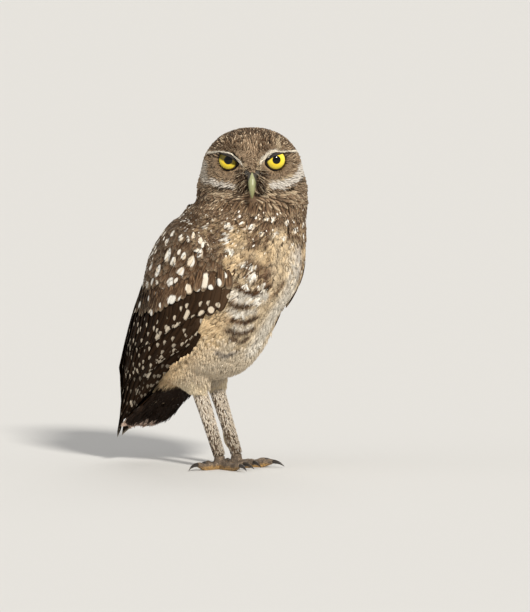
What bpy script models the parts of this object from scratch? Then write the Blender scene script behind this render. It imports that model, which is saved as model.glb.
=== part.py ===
"""Burrowing owl, life size: standing on both feet, body leaning forward and up, head turned to its right.

The owl faces -Y, its left is +X and the floor is z = 0. Lengths are in metres.
Forward is -Y, so places in the body's upright middle plane are written as (forward, height).
"""

import math

import bmesh
import bpy
import numpy as np
from mathutils import Matrix, Vector

MM = 0.001

# Driving dimensions of the bird
STANDING_HEIGHT = 226.5 * MM
HEAD_TURN = math.radians(48)
GAP = 0.3 * MM
EYE_RADIUS = 8.2 * MM
EYE_SPACING = 28.6 * MM
EYE_HEIGHT = 205.4 * MM
TARSUS_LENGTH = 45 * MM
STANCE = 21 * MM

# The trunk, station by station from the base of the neck to the tips of the folded wings:
# forward, height, lean from upright in degrees, half width, depth to the breast, depth to the back.
TRUNK = np.array(
    [
        (16, 173, 5, 38.0, 36.5, 38.0),
        (11, 160, 15, 42.0, 43.0, 40.0),
        (2, 142, 24, 44.0, 49.5, 43.0),
        (-8, 122, 28, 44.0, 45.0, 47.0),
        (-19, 102, 30, 41.5, 43.0, 47.5),
        (-31, 83, 32, 36.0, 36.0, 42.0),
        (-45, 65, 36, 28.0, 17.0, 38.5),
        (-59, 50, 38, 21.5, 14.0, 33.0),
        (-73, 36, 32, 14.0, 12.0, 20.0),
        (-87, 21, 30, 6.0, 8.0, 8.0),
        (-99, 6, 30, 3.0, 4.0, 4.0),
    ]
)

# The head, level by level from the throat to the crown: height, half width, face depth, back depth.
HEAD_LEVELS = np.array(
    [
        (177.0, 36.6, 29.0, 38.0),
        (184.0, 36.4, 29.5, 37.0),
        (192.0, 35.8, 29.5, 35.5),
        (200.0, 34.9, 28.7, 34.0),
        (207.5, 33.2, 27.0, 31.8),
        (214.0, 29.4, 23.5, 27.6),
        (219.5, 23.6, 18.8, 22.2),
        (223.5, 15.4, 12.6, 14.6),
        (225.7, 7.3, 6.1, 6.9),
    ]
)
HEAD_FORWARD = 19.5 * MM
HEAD_RINGS = 23
FACE_COLUMNS = 34
NAPE_COLUMNS = 9
FACE_SPREAD = math.radians(85)
CROWN_DROP = 0.3 * MM


def clear_scene():
    for old in list(bpy.data.objects):
        bpy.data.objects.remove(old)


def material(name, colour, roughness):
    made = bpy.data.materials.new(name)
    made.use_nodes = True
    shader = made.node_tree.nodes["Principled BSDF"]
    shader.inputs["Base Color"].default_value = (*colour, 1.0)
    shader.inputs["Roughness"].default_value = roughness
    return made


def object_from(bm, name):
    """Closes a bmesh into a new object, in triangles that face outwards."""
    bmesh.ops.triangulate(bm, faces=bm.faces)
    bmesh.ops.recalc_face_normals(bm, faces=bm.faces)
    mesh = bpy.data.meshes.new(name)
    bm.to_mesh(mesh)
    bm.free()
    made = bpy.data.objects.new(name, mesh)
    bpy.context.scene.collection.objects.link(made)
    return made


def loft(name, rings, tip=None):
    """A closed skin over rings of points, ending flat, or in a point where a tip is given."""
    bm = bmesh.new()
    loops = [[bm.verts.new(point) for point in ring] for ring in rings]
    count = len(loops[0])
    for first, second in zip(loops, loops[1:]):
        for i in range(count):
            j = (i + 1) % count
            bm.faces.new((first[i], first[j], second[j], second[i]))
    bm.faces.new(loops[0])
    if tip is None:
        bm.faces.new(loops[-1])
    else:
        point = bm.verts.new(tip)
        for i in range(count):
            bm.faces.new((loops[-1][i], loops[-1][(i + 1) % count], point))
    return object_from(bm, name)


def apply_modifiers(obj):
    graph = bpy.context.evaluated_depsgraph_get()
    mesh = bpy.data.meshes.new_from_object(obj.evaluated_get(graph))
    obj.modifiers.clear()
    obj.data = mesh


def keep_largest(obj):
    """Leaves an object only its largest closed surface."""
    bm = bmesh.new()
    bm.from_mesh(obj.data)
    bmesh.ops.triangulate(bm, faces=bm.faces)
    unseen, parts = set(bm.verts), []
    while unseen:
        part, edge = set(), [unseen.pop()]
        while edge:
            vertex = edge.pop()
            part.add(vertex)
            near = {e.other_vert(vertex) for e in vertex.link_edges} & unseen
            unseen -= near
            edge.extend(near)
        parts.append(part)
    parts.sort(key=enclosed_volume)
    bmesh.ops.delete(bm, geom=[v for part in parts[:-1] for v in part], context="VERTS")
    bm.to_mesh(obj.data)
    bm.free()


def enclosed_volume(part):
    faces = {face for vertex in part for face in vertex.link_faces}
    return sum(f.verts[0].co.dot(f.verts[1].co.cross(f.verts[2].co)) for f in faces)


def combine(obj, others, operation):
    """Joins or cuts an object by a collection of closed objects, which are then removed."""
    group = bpy.data.collections.new("tools")
    bpy.context.scene.collection.children.link(group)
    for other in others:
        group.objects.link(other)
    modifier = obj.modifiers.new("Combine", "BOOLEAN")
    modifier.operation = operation
    modifier.operand_type = "COLLECTION"
    modifier.collection = group
    modifier.solver = "MANIFOLD"
    apply_modifiers(obj)
    for other in others:
        bpy.data.objects.remove(other)
    bpy.data.collections.remove(group)
    keep_largest(obj)
    return obj


def swollen(obj, by=GAP):
    """A copy of an object with every face moved out, to cut its neighbour clear of it."""
    mesh = obj.data.copy()
    normals = [vertex.normal.copy() for vertex in mesh.vertices]
    for vertex, normal in zip(mesh.vertices, normals):
        vertex.co += normal * by * 1.25
    made = bpy.data.objects.new(obj.name + "_clearance", mesh)
    made.matrix_world = obj.matrix_world
    bpy.context.scene.collection.objects.link(made)
    return made


def cut_clear(obj, *neighbours):
    return combine(obj, [swollen(n) for n in neighbours], "DIFFERENCE")


def along(table, t):
    """A smooth curve through the rows of a table, read at row number t."""
    t = min(max(t, 0.0), len(table) - 1.0)
    i = min(int(t), len(table) - 2)
    before, first, second, after = (table[min(max(i + k, 0), len(table) - 1)] for k in (-1, 0, 1, 2))
    u = t - i
    pull_first, pull_second = (second - before) / 2, (after - first) / 2
    return (
        first * (1 + 2 * u) * (1 - u) ** 2
        + pull_first * u * (1 - u) ** 2
        + second * u * u * (3 - 2 * u)
        - pull_second * u * u * (1 - u)
    )


def in_plane(forward, height, sideways=0.0):
    return Vector((sideways, -forward, height))


def trunk_point(t, angle, section=None):
    """A place on the trunk's surface at station t, at an angle from the breast towards the bird's left."""
    forward, height, lean, wide, belly, back = along(TRUNK, t)
    if section:
        wide, belly, back = section
    lean = math.radians(lean)
    depth = (belly if math.cos(angle) > 0 else back) * math.cos(angle)
    return MM * in_plane(
        forward + depth * math.cos(lean),
        height - depth * math.sin(lean),
        wide * math.sin(angle),
    )


def trunk_normal(t, angle):
    step_t, step_angle = 0.05, 0.05
    down = trunk_point(t + step_t, angle) - trunk_point(t - step_t, angle)
    round_it = trunk_point(t, angle + step_angle) - trunk_point(t, angle - step_angle)
    return round_it.cross(down).normalized() * -1


def trunk_ring(t, count, slide=0.0):
    """A ring of the trunk at station t, slid along the trunk by a small length."""
    lean = math.radians(along(TRUNK, t)[2])
    shift = in_plane(-math.sin(lean), -math.cos(lean)) * slide
    return [trunk_point(t, math.tau * i / count) + shift for i in range(count)]


# Head

FORWARD_OF_HEAD = Vector((-math.sin(HEAD_TURN), -math.cos(HEAD_TURN), 0))
LEFT_OF_HEAD = Vector((math.cos(HEAD_TURN), -math.sin(HEAD_TURN), 0))
HEAD_FRAME = Matrix.Translation(in_plane(HEAD_FORWARD, 0)) @ Matrix(
    (
        (LEFT_OF_HEAD.x, -FORWARD_OF_HEAD.x, 0, 0),
        (LEFT_OF_HEAD.y, -FORWARD_OF_HEAD.y, 0, 0),
        (0, 0, 1, 0),
        (0, 0, 0, 1),
    )
)
FACE_SQUARENESS = 2.35
BROW_PATH = ((1.5, 201.0), (6.0, 205.5), (12.5, 210.0), (20.0, 211.4), (29.0, 211.0))
BROW_HEIGHT = 3.0
BROW_WIDTH = 3.4
EYE_HOLLOW = 4.2
EYE_HOLLOW_WIDTH = 9.0
DISC_RADIUS = 15.5
DISC_RIM = 1.7
DISC_RIM_WIDTH = 3.6
LORE_RIDGE = 2.6
LORE_HEIGHT = 197
CHIN_HEIGHT = 180.5
CHIN_TUCK = 2.2


def head_angles():
    """Angles round the head from its nape, closest together over the face."""
    face = [FACE_SPREAD * (2 * i / (FACE_COLUMNS - 1) - 1) for i in range(FACE_COLUMNS)]
    rest = math.tau - 2 * FACE_SPREAD
    nape = [FACE_SPREAD + rest * (i + 1) / (NAPE_COLUMNS + 1) for i in range(NAPE_COLUMNS)]
    return face + nape


def distance_to_path(x, z, path):
    best = 1e9
    for (x0, z0), (x1, z1) in zip(path, path[1:]):
        run = Vector((x1 - x0, z1 - z0))
        share = ((x - x0) * run.x + (z - z0) * run.y) / run.length_squared
        share = min(max(share, 0.0), 1.0)
        best = min(best, math.hypot(x - x0 - run.x * share, z - z0 - run.y * share))
    return best


def bump(distance, width):
    return math.exp(-((distance / width) ** 2))


def face_relief(x, z):
    """How far the face stands forward at a place x mm from its middle and z mm up."""
    x = abs(x)
    from_eye = math.hypot(x - EYE_SPACING / MM / 2, z - EYE_HEIGHT / MM)
    relief = -EYE_HOLLOW * bump(from_eye, EYE_HOLLOW_WIDTH)
    relief += BROW_HEIGHT * bump(distance_to_path(x, z, BROW_PATH), BROW_WIDTH)
    below_eye = min(max((EYE_HEIGHT / MM - z) / 10, 0.0), 1.0)
    relief += DISC_RIM * below_eye * bump(from_eye - DISC_RADIUS, DISC_RIM_WIDTH)
    relief += LORE_RIDGE * bump(x, 4.5) * bump(z - LORE_HEIGHT, 8)
    relief -= CHIN_TUCK * bump(z - (CHIN_HEIGHT - 2.5), 2.6) * bump(x, 26)
    return relief


def head_point(level, angle):
    height, wide, face, back = along(HEAD_LEVELS, level)
    side, ahead = math.sin(angle), math.cos(angle)
    if ahead > 0:
        power = FACE_SQUARENESS
        size = (abs(side) ** power + ahead**power) ** (-1 / power)
        x, y = wide * side * size, face * ahead * size
        y += face_relief(x, height) * min(1.0, 1.6 * ahead)
    else:
        x, y = wide * side, back * ahead
    return HEAD_FRAME @ (MM * Vector((x, -y, height)))


def head_ring(level, slide=0.0):
    return [head_point(level, angle) + Vector((0, 0, slide)) for angle in head_angles()]


def head_shell():
    levels = [(len(HEAD_LEVELS) - 1) * (i / (HEAD_RINGS - 1)) ** 0.92 for i in range(HEAD_RINGS)]
    crown = in_plane(HEAD_FORWARD, STANDING_HEIGHT - CROWN_DROP)
    return loft("head", [head_ring(level) for level in levels], tip=crown)


EYE_DEPTH = 16.6 * MM
EYE_OUTWARD = math.radians(14)
LID_RADIUS = 6.9 * MM
LID_THICKNESS = 0.95 * MM
CORNEA_BULGE = 0.9 * MM


def eye_frame(side):
    """The place of an eye, its +Y looking back into the head; side is 1 for the bird's left."""
    place = Matrix.Translation((side * EYE_SPACING / 2, -EYE_DEPTH, EYE_HEIGHT))
    return HEAD_FRAME @ place @ Matrix.Rotation(side * EYE_OUTWARD, 4, "Z")


def eyeball_mesh():
    """A ball whose poles lie on the line of sight, with the clear front bulging a little."""
    bm = bmesh.new()
    bmesh.ops.create_uvsphere(bm, u_segments=18, v_segments=10, radius=EYE_RADIUS)
    bmesh.ops.rotate(bm, verts=bm.verts, matrix=Matrix.Rotation(math.radians(90), 3, "X"))
    for vertex in bm.verts:
        ahead = -vertex.co.y / EYE_RADIUS
        vertex.co.y -= CORNEA_BULGE * max(0.0, (ahead - 0.6) / 0.4)
    bmesh.ops.triangulate(bm, faces=bm.faces)
    bmesh.ops.recalc_face_normals(bm, faces=bm.faces)
    mesh = bpy.data.meshes.new("eyeball")
    bm.to_mesh(mesh)
    bm.free()
    return mesh


def eyelids(side):
    """The bare rim of the lids round one eye, lower over the top of the eye than a full circle."""
    depth = math.sqrt(EYE_RADIUS**2 - LID_RADIUS**2)
    rings = []
    around, across = 18, 6
    for i in range(around):
        angle = math.tau * i / around
        out = Vector((math.cos(angle), 0, math.sin(angle)))
        centre = out * LID_RADIUS + Vector((0, -depth, 0))
        if out.z > 0:
            centre.z *= 0.9
            centre.y -= 0.5 * MM * out.z
        rings.append(
            [
                centre + LID_THICKNESS * (out * math.cos(a) * 1.25 + Vector((0, math.sin(a), 0)))
                for a in (math.tau * j / across for j in range(across))
            ]
        )
    bm = bmesh.new()
    loops = [[bm.verts.new(point) for point in ring] for ring in rings]
    for first, second in zip(loops, loops[1:] + loops[:1]):
        for j in range(across):
            k = (j + 1) % across
            bm.faces.new((first[j], first[k], second[k], second[j]))
    lids = object_from(bm, "lids")
    lids.data.transform(eye_frame(side))
    return lids


# Bill: places are (ahead, height) in the head's own middle plane, with half width and half depth.
UPPER_BILL = np.array(
    [
        (21.0, 197.6, 3.2, 3.4),
        (27.5, 197.4, 3.4, 3.5),
        (32.0, 194.6, 3.2, 3.4),
        (34.8, 189.6, 2.6, 2.8),
        (35.4, 184.8, 1.7, 1.8),
        (34.6, 181.6, 0.7, 0.8),
    ]
)
BILL_TIP = (34.1, 180.2)
LOWER_BILL = np.array([(21.0, 188.6, 2.9, 1.3), (27.0, 188.0, 2.7, 1.2), (30.0, 186.4, 1.9, 0.9)])
LOWER_TIP = (31.6, 185.0)
NOSTRIL_OUT = 2.9 * MM
NOSTRIL_AHEAD = 31.0 * MM
NOSTRIL_HEIGHT = 197.2 * MM
NOSTRIL_RADIUS = 0.8 * MM
CERE_RADIUS = 2.5 * MM


def bill_half(name, table, tip, sides=12, steps=9):
    """One half of the bill as a tapering hooked loft, keeled along its ridge."""
    rings = []
    for i in range(steps):
        t = (len(table) - 1) * i / (steps - 1)
        ahead, height, wide, deep = along(table, t)
        after, before = along(table, t + 0.1), along(table, t - 0.1)
        run = Vector((0, -(after[0] - before[0]), after[1] - before[1])).normalized()
        ridge = run.cross(Vector((1, 0, 0))).normalized()
        ring = []
        for j in range(sides):
            angle = math.tau * j / sides
            keel = 1 + 0.18 * max(0.0, math.cos(angle)) ** 3
            across = Vector((wide * math.sin(angle), 0, 0)) - ridge * (deep * keel * math.cos(angle))
            ring.append(HEAD_FRAME @ (MM * (Vector((0, -ahead, height)) + across)))
        rings.append(ring)
    return loft(name, rings, tip=HEAD_FRAME @ (MM * Vector((0, -tip[0], tip[1]))))


def ball(centre, radius):
    bm = bmesh.new()
    bmesh.ops.create_uvsphere(bm, u_segments=8, v_segments=5, radius=radius)
    bmesh.ops.translate(bm, verts=bm.verts, vec=centre)
    return object_from(bm, "ball")


def nostril_place(side, ahead=0.0):
    return HEAD_FRAME @ Vector((side * NOSTRIL_OUT, -NOSTRIL_AHEAD - ahead, NOSTRIL_HEIGHT))


def make_bill():
    """The upper bill with its swollen cere and open nostrils, and the lower bill under it."""
    upper = bill_half("bill_upper", UPPER_BILL, BILL_TIP)
    cere = [ball(nostril_place(side, -1.2 * MM), CERE_RADIUS) for side in (-1, 1)]
    combine(upper, cere, "UNION")
    holes = [ball(nostril_place(side * 1.25, 0.9 * MM), NOSTRIL_RADIUS) for side in (-1, 1)]
    combine(upper, holes, "DIFFERENCE")
    lower = bill_half("bill_lower", LOWER_BILL, LOWER_TIP, sides=10, steps=5)
    cut_clear(lower, upper)
    return upper, lower


def make_head(finishes):
    head = head_shell()
    combine(head, [eyelids(-1), eyelids(1)], "UNION")
    mesh = eyeball_mesh()
    eyes = []
    for side, name in ((-1, "eye_right"), (1, "eye_left")):
        eye = bpy.data.objects.new(name, mesh)
        eye.matrix_world = eye_frame(side)
        bpy.context.scene.collection.objects.link(eye)
        eyes.append(eye)
    mesh.materials.append(finishes["eye"])
    bill = make_bill()
    bpy.context.view_layer.update()
    cut_clear(head, *eyes)
    cut_clear(head, *bill)
    return head, eyes, bill


# Neck and torso

NECK_BASE = 0.5
TORSO_RINGS = 16
TORSO_COLUMNS = 30
TORSO_END = 5.35

# The rump, level by level: station, share of the trunk's width and back, depth down towards the tail.
RUMP = ((5.55, 0.97, 23), (5.75, 0.95, 12), (6.1, 0.93, 5.0), (6.7, 0.92, 3.0), (7.3, 0.90, 1.4))
RUMP_TIP = 7.8


def make_neck():
    """The short neck, from the torso's leaning ring to the head's level one."""
    rings = []
    steps = 5
    for i in range(steps):
        u = i / (steps - 1)
        ease = u * u * (3 - 2 * u)
        ring = []
        for angle in head_angles():
            below = trunk_point(NECK_BASE, angle - HEAD_TURN)
            above = head_point(0, angle) - Vector((0, 0, GAP))
            ring.append(below.lerp(above, 0.35 * u + 0.65 * ease))
        rings.append(ring)
    return loft("neck", rings)


def rump_ring(t, share, under):
    """A ring of the rump: the trunk's back drawn in by a share, and flat over the tail."""
    _, _, _, wide, _, back = along(TRUNK, t)
    section = (wide * share, under, back * share)
    return [trunk_point(t, math.tau * i / TORSO_COLUMNS, section) for i in range(TORSO_COLUMNS)]


def make_torso():
    """Breast, back and belly, and the rump that fills the space between the wings above the tail."""
    rings = [trunk_ring(NECK_BASE, TORSO_COLUMNS, slide=GAP)]
    for i in range(1, TORSO_RINGS):
        rings.append(trunk_ring(NECK_BASE + (TORSO_END - NECK_BASE) * i / (TORSO_RINGS - 1), TORSO_COLUMNS))
    rings += [rump_ring(*level) for level in RUMP]
    forward, height = along(TRUNK, RUMP_TIP)[:2]
    return loft("torso", rings, tip=MM * in_plane(forward, height))


# Legs and feet

FEET = {"right": (-1, 0.0), "left": (1, -4.0 * MM)}
TARSUS_LEAN = math.radians(23)
ANKLE_HEIGHT = 9 * MM
HEEL_RADIUS = 4.8 * MM
TARSUS_RADIUS = 3.4 * MM
PALM_RADIUS = 4.6 * MM

# The thigh's levels from the heel up, in mm: behind the heel, height above it, half width, half length.
THIGH = np.array(
    [
        (0.0, -1.5, 6.0, 6.2),
        (4.5, 3.5, 8.0, 10.5),
        (8.0, 10.0, 11.5, 15.5),
        (9.5, 19.0, 14.0, 18.0),
        (9.0, 30.0, 13.0, 16.0),
    ]
)

# Each toe: its length and its radius at the root.
TOES = {
    "inner": (17.5 * MM, 2.8 * MM),
    "middle": (25.0 * MM, 3.0 * MM),
    "outer": (20.0 * MM, 2.8 * MM),
    "hind": (11.0 * MM, 2.8 * MM),
}
# The way each toe points, in degrees from forward towards the outside. The right outer toe is turned aside.
TOE_WAYS = {
    "right": {"inner": -16, "middle": 15, "outer": 94, "hind": 178},
    "left": {"inner": -8, "middle": 26, "outer": 62, "hind": 168},
}
CLAW_LENGTH = 9.2 * MM
CLAW_RADIUS = 1.5 * MM
CLAW_BEND = math.radians(48)
CLAW_ROOT_HEIGHT = 4.0 * MM
HIND_CLAW_SIZE = 0.86
TOE_TIP_RADIUS = 1.75 * MM
TOE_FLATNESS = 0.95


def foot_place(name):
    side, forward = FEET[name]
    return in_plane(forward, 0, side * STANCE / 2)


def heel_place(name):
    up = in_plane(-math.sin(TARSUS_LEAN), math.cos(TARSUS_LEAN)) * TARSUS_LENGTH
    return foot_place(name) + Vector((0, 0, ANKLE_HEIGHT)) + up


def tube(name, path, radii, sides=12):
    """A round loft along a path, each ring square to the path there."""
    rings = []
    for i, (place, radius) in enumerate(zip(path, radii)):
        run = (path[min(i + 1, len(path) - 1)] - path[max(i - 1, 0)]).normalized()
        across = run.cross(Vector((0, 1, 0.001))).normalized()
        upright = across.cross(run).normalized()
        rings.append(
            [
                place + radius * (across * math.cos(a) + upright * math.sin(a))
                for a in (math.tau * j / sides for j in range(sides))
            ]
        )
    return loft(name, rings)


def make_leg(name):
    """The bare-looking shank from the heel down to the ankle, slimmest below its middle."""
    heel, ankle = heel_place(name), foot_place(name) + Vector((0, 0, ANKLE_HEIGHT))
    steps = 7
    path = [heel.lerp(ankle, i / (steps - 1)) for i in range(steps)]
    radii = [HEEL_RADIUS + (TARSUS_RADIUS - HEEL_RADIUS) * (i / (steps - 1)) ** 0.7 for i in range(steps)]
    return tube("leg_" + name, path, radii)


def make_thigh(name):
    """The loose feathered thigh, hanging furthest behind the heel and closing round it."""
    side = FEET[name][0]
    heel = heel_place(name)
    steps, sides = 7, 16
    rings = []
    for i in range(steps):
        behind, height, wide, long = along(THIGH, (len(THIGH) - 1) * i / (steps - 1)) * MM
        out = side * (heel.x * side + wide * 0.3)
        centre = Vector((out, heel.y + behind, heel.z + height))
        turns = (math.tau * j / sides for j in range(sides))
        rings.append([centre + Vector((wide * math.cos(a), long * math.sin(a), 0)) for a in turns])
    return loft("thigh_" + name, rings)


def toe_direction(name, toe):
    side = FEET[name][0]
    angle = math.radians(TOE_WAYS[name][toe])
    return Vector((side * math.sin(angle), -math.cos(angle), 0))


def toe_section(place, across, radius, lift, sides=8):
    """A toe's cross-section, its sole flat on the floor where it isn't lifted."""
    ring = []
    for j in range(sides):
        angle = math.tau * j / sides
        height = lift + TOE_FLATNESS * radius * (1 + math.sin(angle))
        if lift == 0 and math.sin(angle) < -0.6:
            height = 0.0
        ring.append(Vector((*(place + across * radius * math.cos(angle)).xy, height)))
    return ring


def make_toe(name, toe):
    """One toe, swollen at its joints, from inside the palm out to the raised root of its claw."""
    length, radius = TOES[toe]
    way = toe_direction(name, toe)
    across = way.cross(Vector((0, 0, 1)))
    tip_lift = CLAW_ROOT_HEIGHT * claw_size(toe) - TOE_FLATNESS * TOE_TIP_RADIUS
    rings = []
    steps = 8
    for i in range(steps):
        u = i / (steps - 1)
        girth = radius * (1 - 0.22 * u) * (1 + 0.10 * math.cos(math.tau * 2.5 * u))
        lift = 0.0
        if i == steps - 2:
            lift = 0.4 * tip_lift
        if i == steps - 1:
            girth, lift = TOE_TIP_RADIUS, tip_lift
        rings.append(toe_section(foot_place(name) + way * length * u, across, girth, lift))
    return loft(f"toe_{toe}", rings)


def make_foot(name):
    """Palm, ankle stub and four toes in one piece, resting on flat soles."""
    place = foot_place(name)
    ankle = place + Vector((0, 0, ANKLE_HEIGHT))
    down = (ankle - heel_place(name)).normalized()
    top = ankle + down * GAP
    path = [top, top.lerp(place + Vector((0, 0, 3.4 * MM)), 0.55), place + Vector((0, 0, 1.2 * MM))]
    radii = [TARSUS_RADIUS, TARSUS_RADIUS * 1.12, PALM_RADIUS]
    stub = tube("foot_" + name, path, radii)
    for vertex in stub.data.vertices:
        vertex.co.z = max(vertex.co.z, 0.2 * MM)
    return combine(stub, [make_toe(name, toe) for toe in TOES], "UNION")


def claw_mesh():
    """A claw along its own -Y, curving down to its tip."""
    rings = []
    steps, sides = 5, 7
    reach = CLAW_LENGTH / CLAW_BEND
    for i in range(steps):
        u = i / steps
        angle = CLAW_BEND * u
        place = Vector((0, -reach * math.sin(angle), -reach * (1 - math.cos(angle))))
        out = Vector((0, math.sin(angle) * -1, math.cos(angle)))
        radius = CLAW_RADIUS * (1 - u**1.4)
        rings.append(
            [
                place + radius * (Vector((0.85 * math.cos(a), 0, 0)) + out * math.sin(a))
                for a in (math.tau * j / sides for j in range(sides))
            ]
        )
    tip = Vector((0, -reach * math.sin(CLAW_BEND), -reach * (1 - math.cos(CLAW_BEND))))
    made = loft("claw", rings, tip=tip)
    mesh = made.data
    bpy.data.objects.remove(made)
    return mesh


def claw_size(toe):
    return HIND_CLAW_SIZE if toe == "hind" else 1.0


def place_claws(name, mesh):
    """A claw at the end of each toe; every one shares the same mesh, the hind one shorter."""
    made = []
    for toe, (length, _) in TOES.items():
        way = toe_direction(name, toe)
        size = claw_size(toe)
        claw = bpy.data.objects.new(f"claw_{name}_{toe}", mesh)
        root = foot_place(name) + way * (length + GAP)
        claw.location = root + Vector((0, 0, CLAW_ROOT_HEIGHT * size))
        claw.rotation_euler = (0, 0, math.atan2(way.x, -way.y))
        claw.scale = (size, size, size)
        bpy.context.scene.collection.objects.link(claw)
        made.append(claw)
    return made


# Wings and tail

# The folded wing on the trunk: station, and the angles of its front and back edges from the breast.
WING_EDGES = np.array(
    [
        (0.95, 84, 120),
        (1.15, 60, 138),
        (1.6, 48, 152),
        (2.4, 43, 164),
        (3.4, 43, 171),
        (4.3, 49, 174),
        (5.2, 61, 176),
        (6.2, 67, 177),
        (7.2, 80, 177),
        (8.2, 87, 177),
        (9.0, 100, 177),
        (10.0, 125, 177),
    ]
)
WING_THICKNESS = 5.0 * MM
WING_INSET = 1.6 * MM
CORE_END = 5.6
CORE_ROWS = 11
CORE_COLUMNS = 9
VANE_THICKNESS = 0.6 * MM
TIER_STEP = 0.95 * MM


def wing_edges_at(t):
    """The angles of a wing's front and back edges at station t."""
    row = np.interp(t, WING_EDGES[:, 0], np.arange(len(WING_EDGES)))
    _, front, back = along(WING_EDGES, row)
    return math.radians(front), math.radians(back)


def wing_place(side, t, share, lift):
    """A place over the trunk at station t, from the wing's front edge (0) to its back edge (1)."""
    front, back = wing_edges_at(t)
    angle = side * (front + (back - front) * share)
    return trunk_point(t, angle) + trunk_normal(t, angle) * lift


def core_lift(t, share):
    """How far the wing's smooth shoulder stands over the trunk, thin at its edges and its end."""
    start = min(max((t - WING_EDGES[0, 0]) / 0.7, 0.0), 1.0)
    end = min(max((CORE_END - t) / 2.6, 0.0), 1.0)
    edge = math.sin(math.pi * min(max(share, 0.0), 1.0)) ** 0.45
    return WING_THICKNESS * (0.22 + 0.78 * math.sqrt(start) * end**0.8 * edge)


def wing_core(side, name):
    """The closed slab of the folded wing's arm and small coverts, lying on the trunk."""
    rings = []
    for i in range(CORE_ROWS):
        t = WING_EDGES[0, 0] + (CORE_END - WING_EDGES[0, 0]) * (i / (CORE_ROWS - 1)) ** 1.1
        shares = [j / (CORE_COLUMNS - 1) for j in range(CORE_COLUMNS)]
        outer = [wing_place(side, t, share, core_lift(t, share)) for share in shares]
        inner = [wing_place(side, t, share, -WING_INSET) for share in reversed(shares)]
        rings.append(outer + inner)
    return loft(name, rings)


def vane(place, start, end, wide, lift, tilt, shape):
    """A feather's blade as a thin closed slab between two (t, share) places.

    place(t, share, lift) gives points over the surface that the feather lies on. The blade tilts about
    its own length by tilt, so that a row of them overlaps like shingles. The faces on both sides are
    split along the same diagonals.
    """
    bm = bmesh.new()
    rows = []
    for u, width in shape:
        t = start[0] + (end[0] - start[0]) * u
        share = start[1] + (end[1] - start[1]) * u
        centre = place(t, share, lift)
        up = (place(t, share, lift + MM) - centre).normalized()
        further = place(t + 0.05, share + 0.05 * (end[1] - start[1]) / (end[0] - start[0]), lift)
        across = (further - centre).cross(up).normalized()
        if across.dot(place(t, share + 0.02, lift) - centre) < 0:
            across = -across
        side = (across - up * tilt) * wide * width / 2
        thick = up * VANE_THICKNESS / 2
        corners = (centre - side + thick, centre + side + thick, centre + side - thick, centre - side - thick)
        rows.append([bm.verts.new(corner) for corner in corners])
    for near, far in zip(rows, rows[1:]):
        bm.faces.new((near[0], near[1], far[1]))
        bm.faces.new((near[0], far[1], far[0]))
        bm.faces.new((near[3], far[2], near[2]))
        bm.faces.new((near[3], far[3], far[2]))
        bm.faces.new((near[1], near[2], far[2], far[1]))
        bm.faces.new((near[3], near[0], far[0], far[3]))
    bm.faces.new(rows[0])
    bm.faces.new(rows[-1])
    return object_from(bm, "vane")


# Outlines of a blade: how far along it, and its share of the full width there.
LONG_BLADE = ((0.0, 0.7), (0.35, 1.0), (0.7, 0.94), (0.9, 0.66), (0.975, 0.36), (1.0, 0.12))
SHORT_BLADE = ((0.0, 0.75), (0.5, 1.0), (0.85, 0.84), (0.97, 0.45), (1.0, 0.16))

# Each tier: vanes, width, lift, tilt, outline, and (t, share) of the root and tip of its first and last.
WING_TIERS = (
    (6, 13 * MM, 0.6 * MM, 0.22, LONG_BLADE, (4.3, 0.16, 8.5, 0.16), (4.3, 0.52, 9.6, 0.62)),
    (7, 13 * MM, 1.9 * MM, 0.17, LONG_BLADE, (3.3, 0.18, 6.0, 0.14), (3.6, 0.86, 7.9, 0.80)),
    (7, 13 * MM, 3.3 * MM, 0.13, SHORT_BLADE, (2.1, 0.14, 3.9, 0.11), (2.4, 0.86, 5.6, 0.86)),
)


def wing_vanes(side):
    def place(t, share, lift):
        return wing_place(side, t, share, lift)

    vanes = []
    for count, wide, lift, tilt, shape, first, last in WING_TIERS:
        for i in range(count):
            u = i / (count - 1)
            t0, share0, t1, share1 = (a + (b - a) * u for a, b in zip(first, last))
            vanes.append(vane(place, (t0, share0), (t1, share1), wide, lift, tilt, shape))
    return vanes


def make_wing(side, name, *neighbours):
    wing = wing_core(side, name)
    combine(wing, wing_vanes(side), "UNION")
    return cut_clear(wing, *neighbours)


# The tail: its root and the tip of its middle feathers in the middle plane, as (forward, height).
TAIL_ROOT = (-24 * MM, 73 * MM)
TAIL_TIP = (-84 * MM, 24.5 * MM)
TAIL_PAIRS = 5
TAIL_FAN = math.radians(4.5)
TAIL_SPREAD = 9.5 * MM
TAIL_ARCH = 1.5 * MM
RECTRIX_WIDTH = 12 * MM
TAIL_BLADE = ((0.0, 0.6), (0.4, 1.0), (0.8, 1.0), (0.93, 0.8), (0.985, 0.45), (1.0, 0.2))
TAIL_CORE = np.array([(0.0, 15.0, 8.5), (0.22, 16.5, 7.5), (0.46, 16.0, 4.6), (0.64, 13.0, 1.4)])


def tail_axes():
    root, tip = in_plane(*TAIL_ROOT), in_plane(*TAIL_TIP)
    run = (tip - root).normalized()
    up = run.cross(Vector((1, 0, 0)))
    if up.z < 0:
        up = -up
    return root, run, up, (tip - root).length


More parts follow.
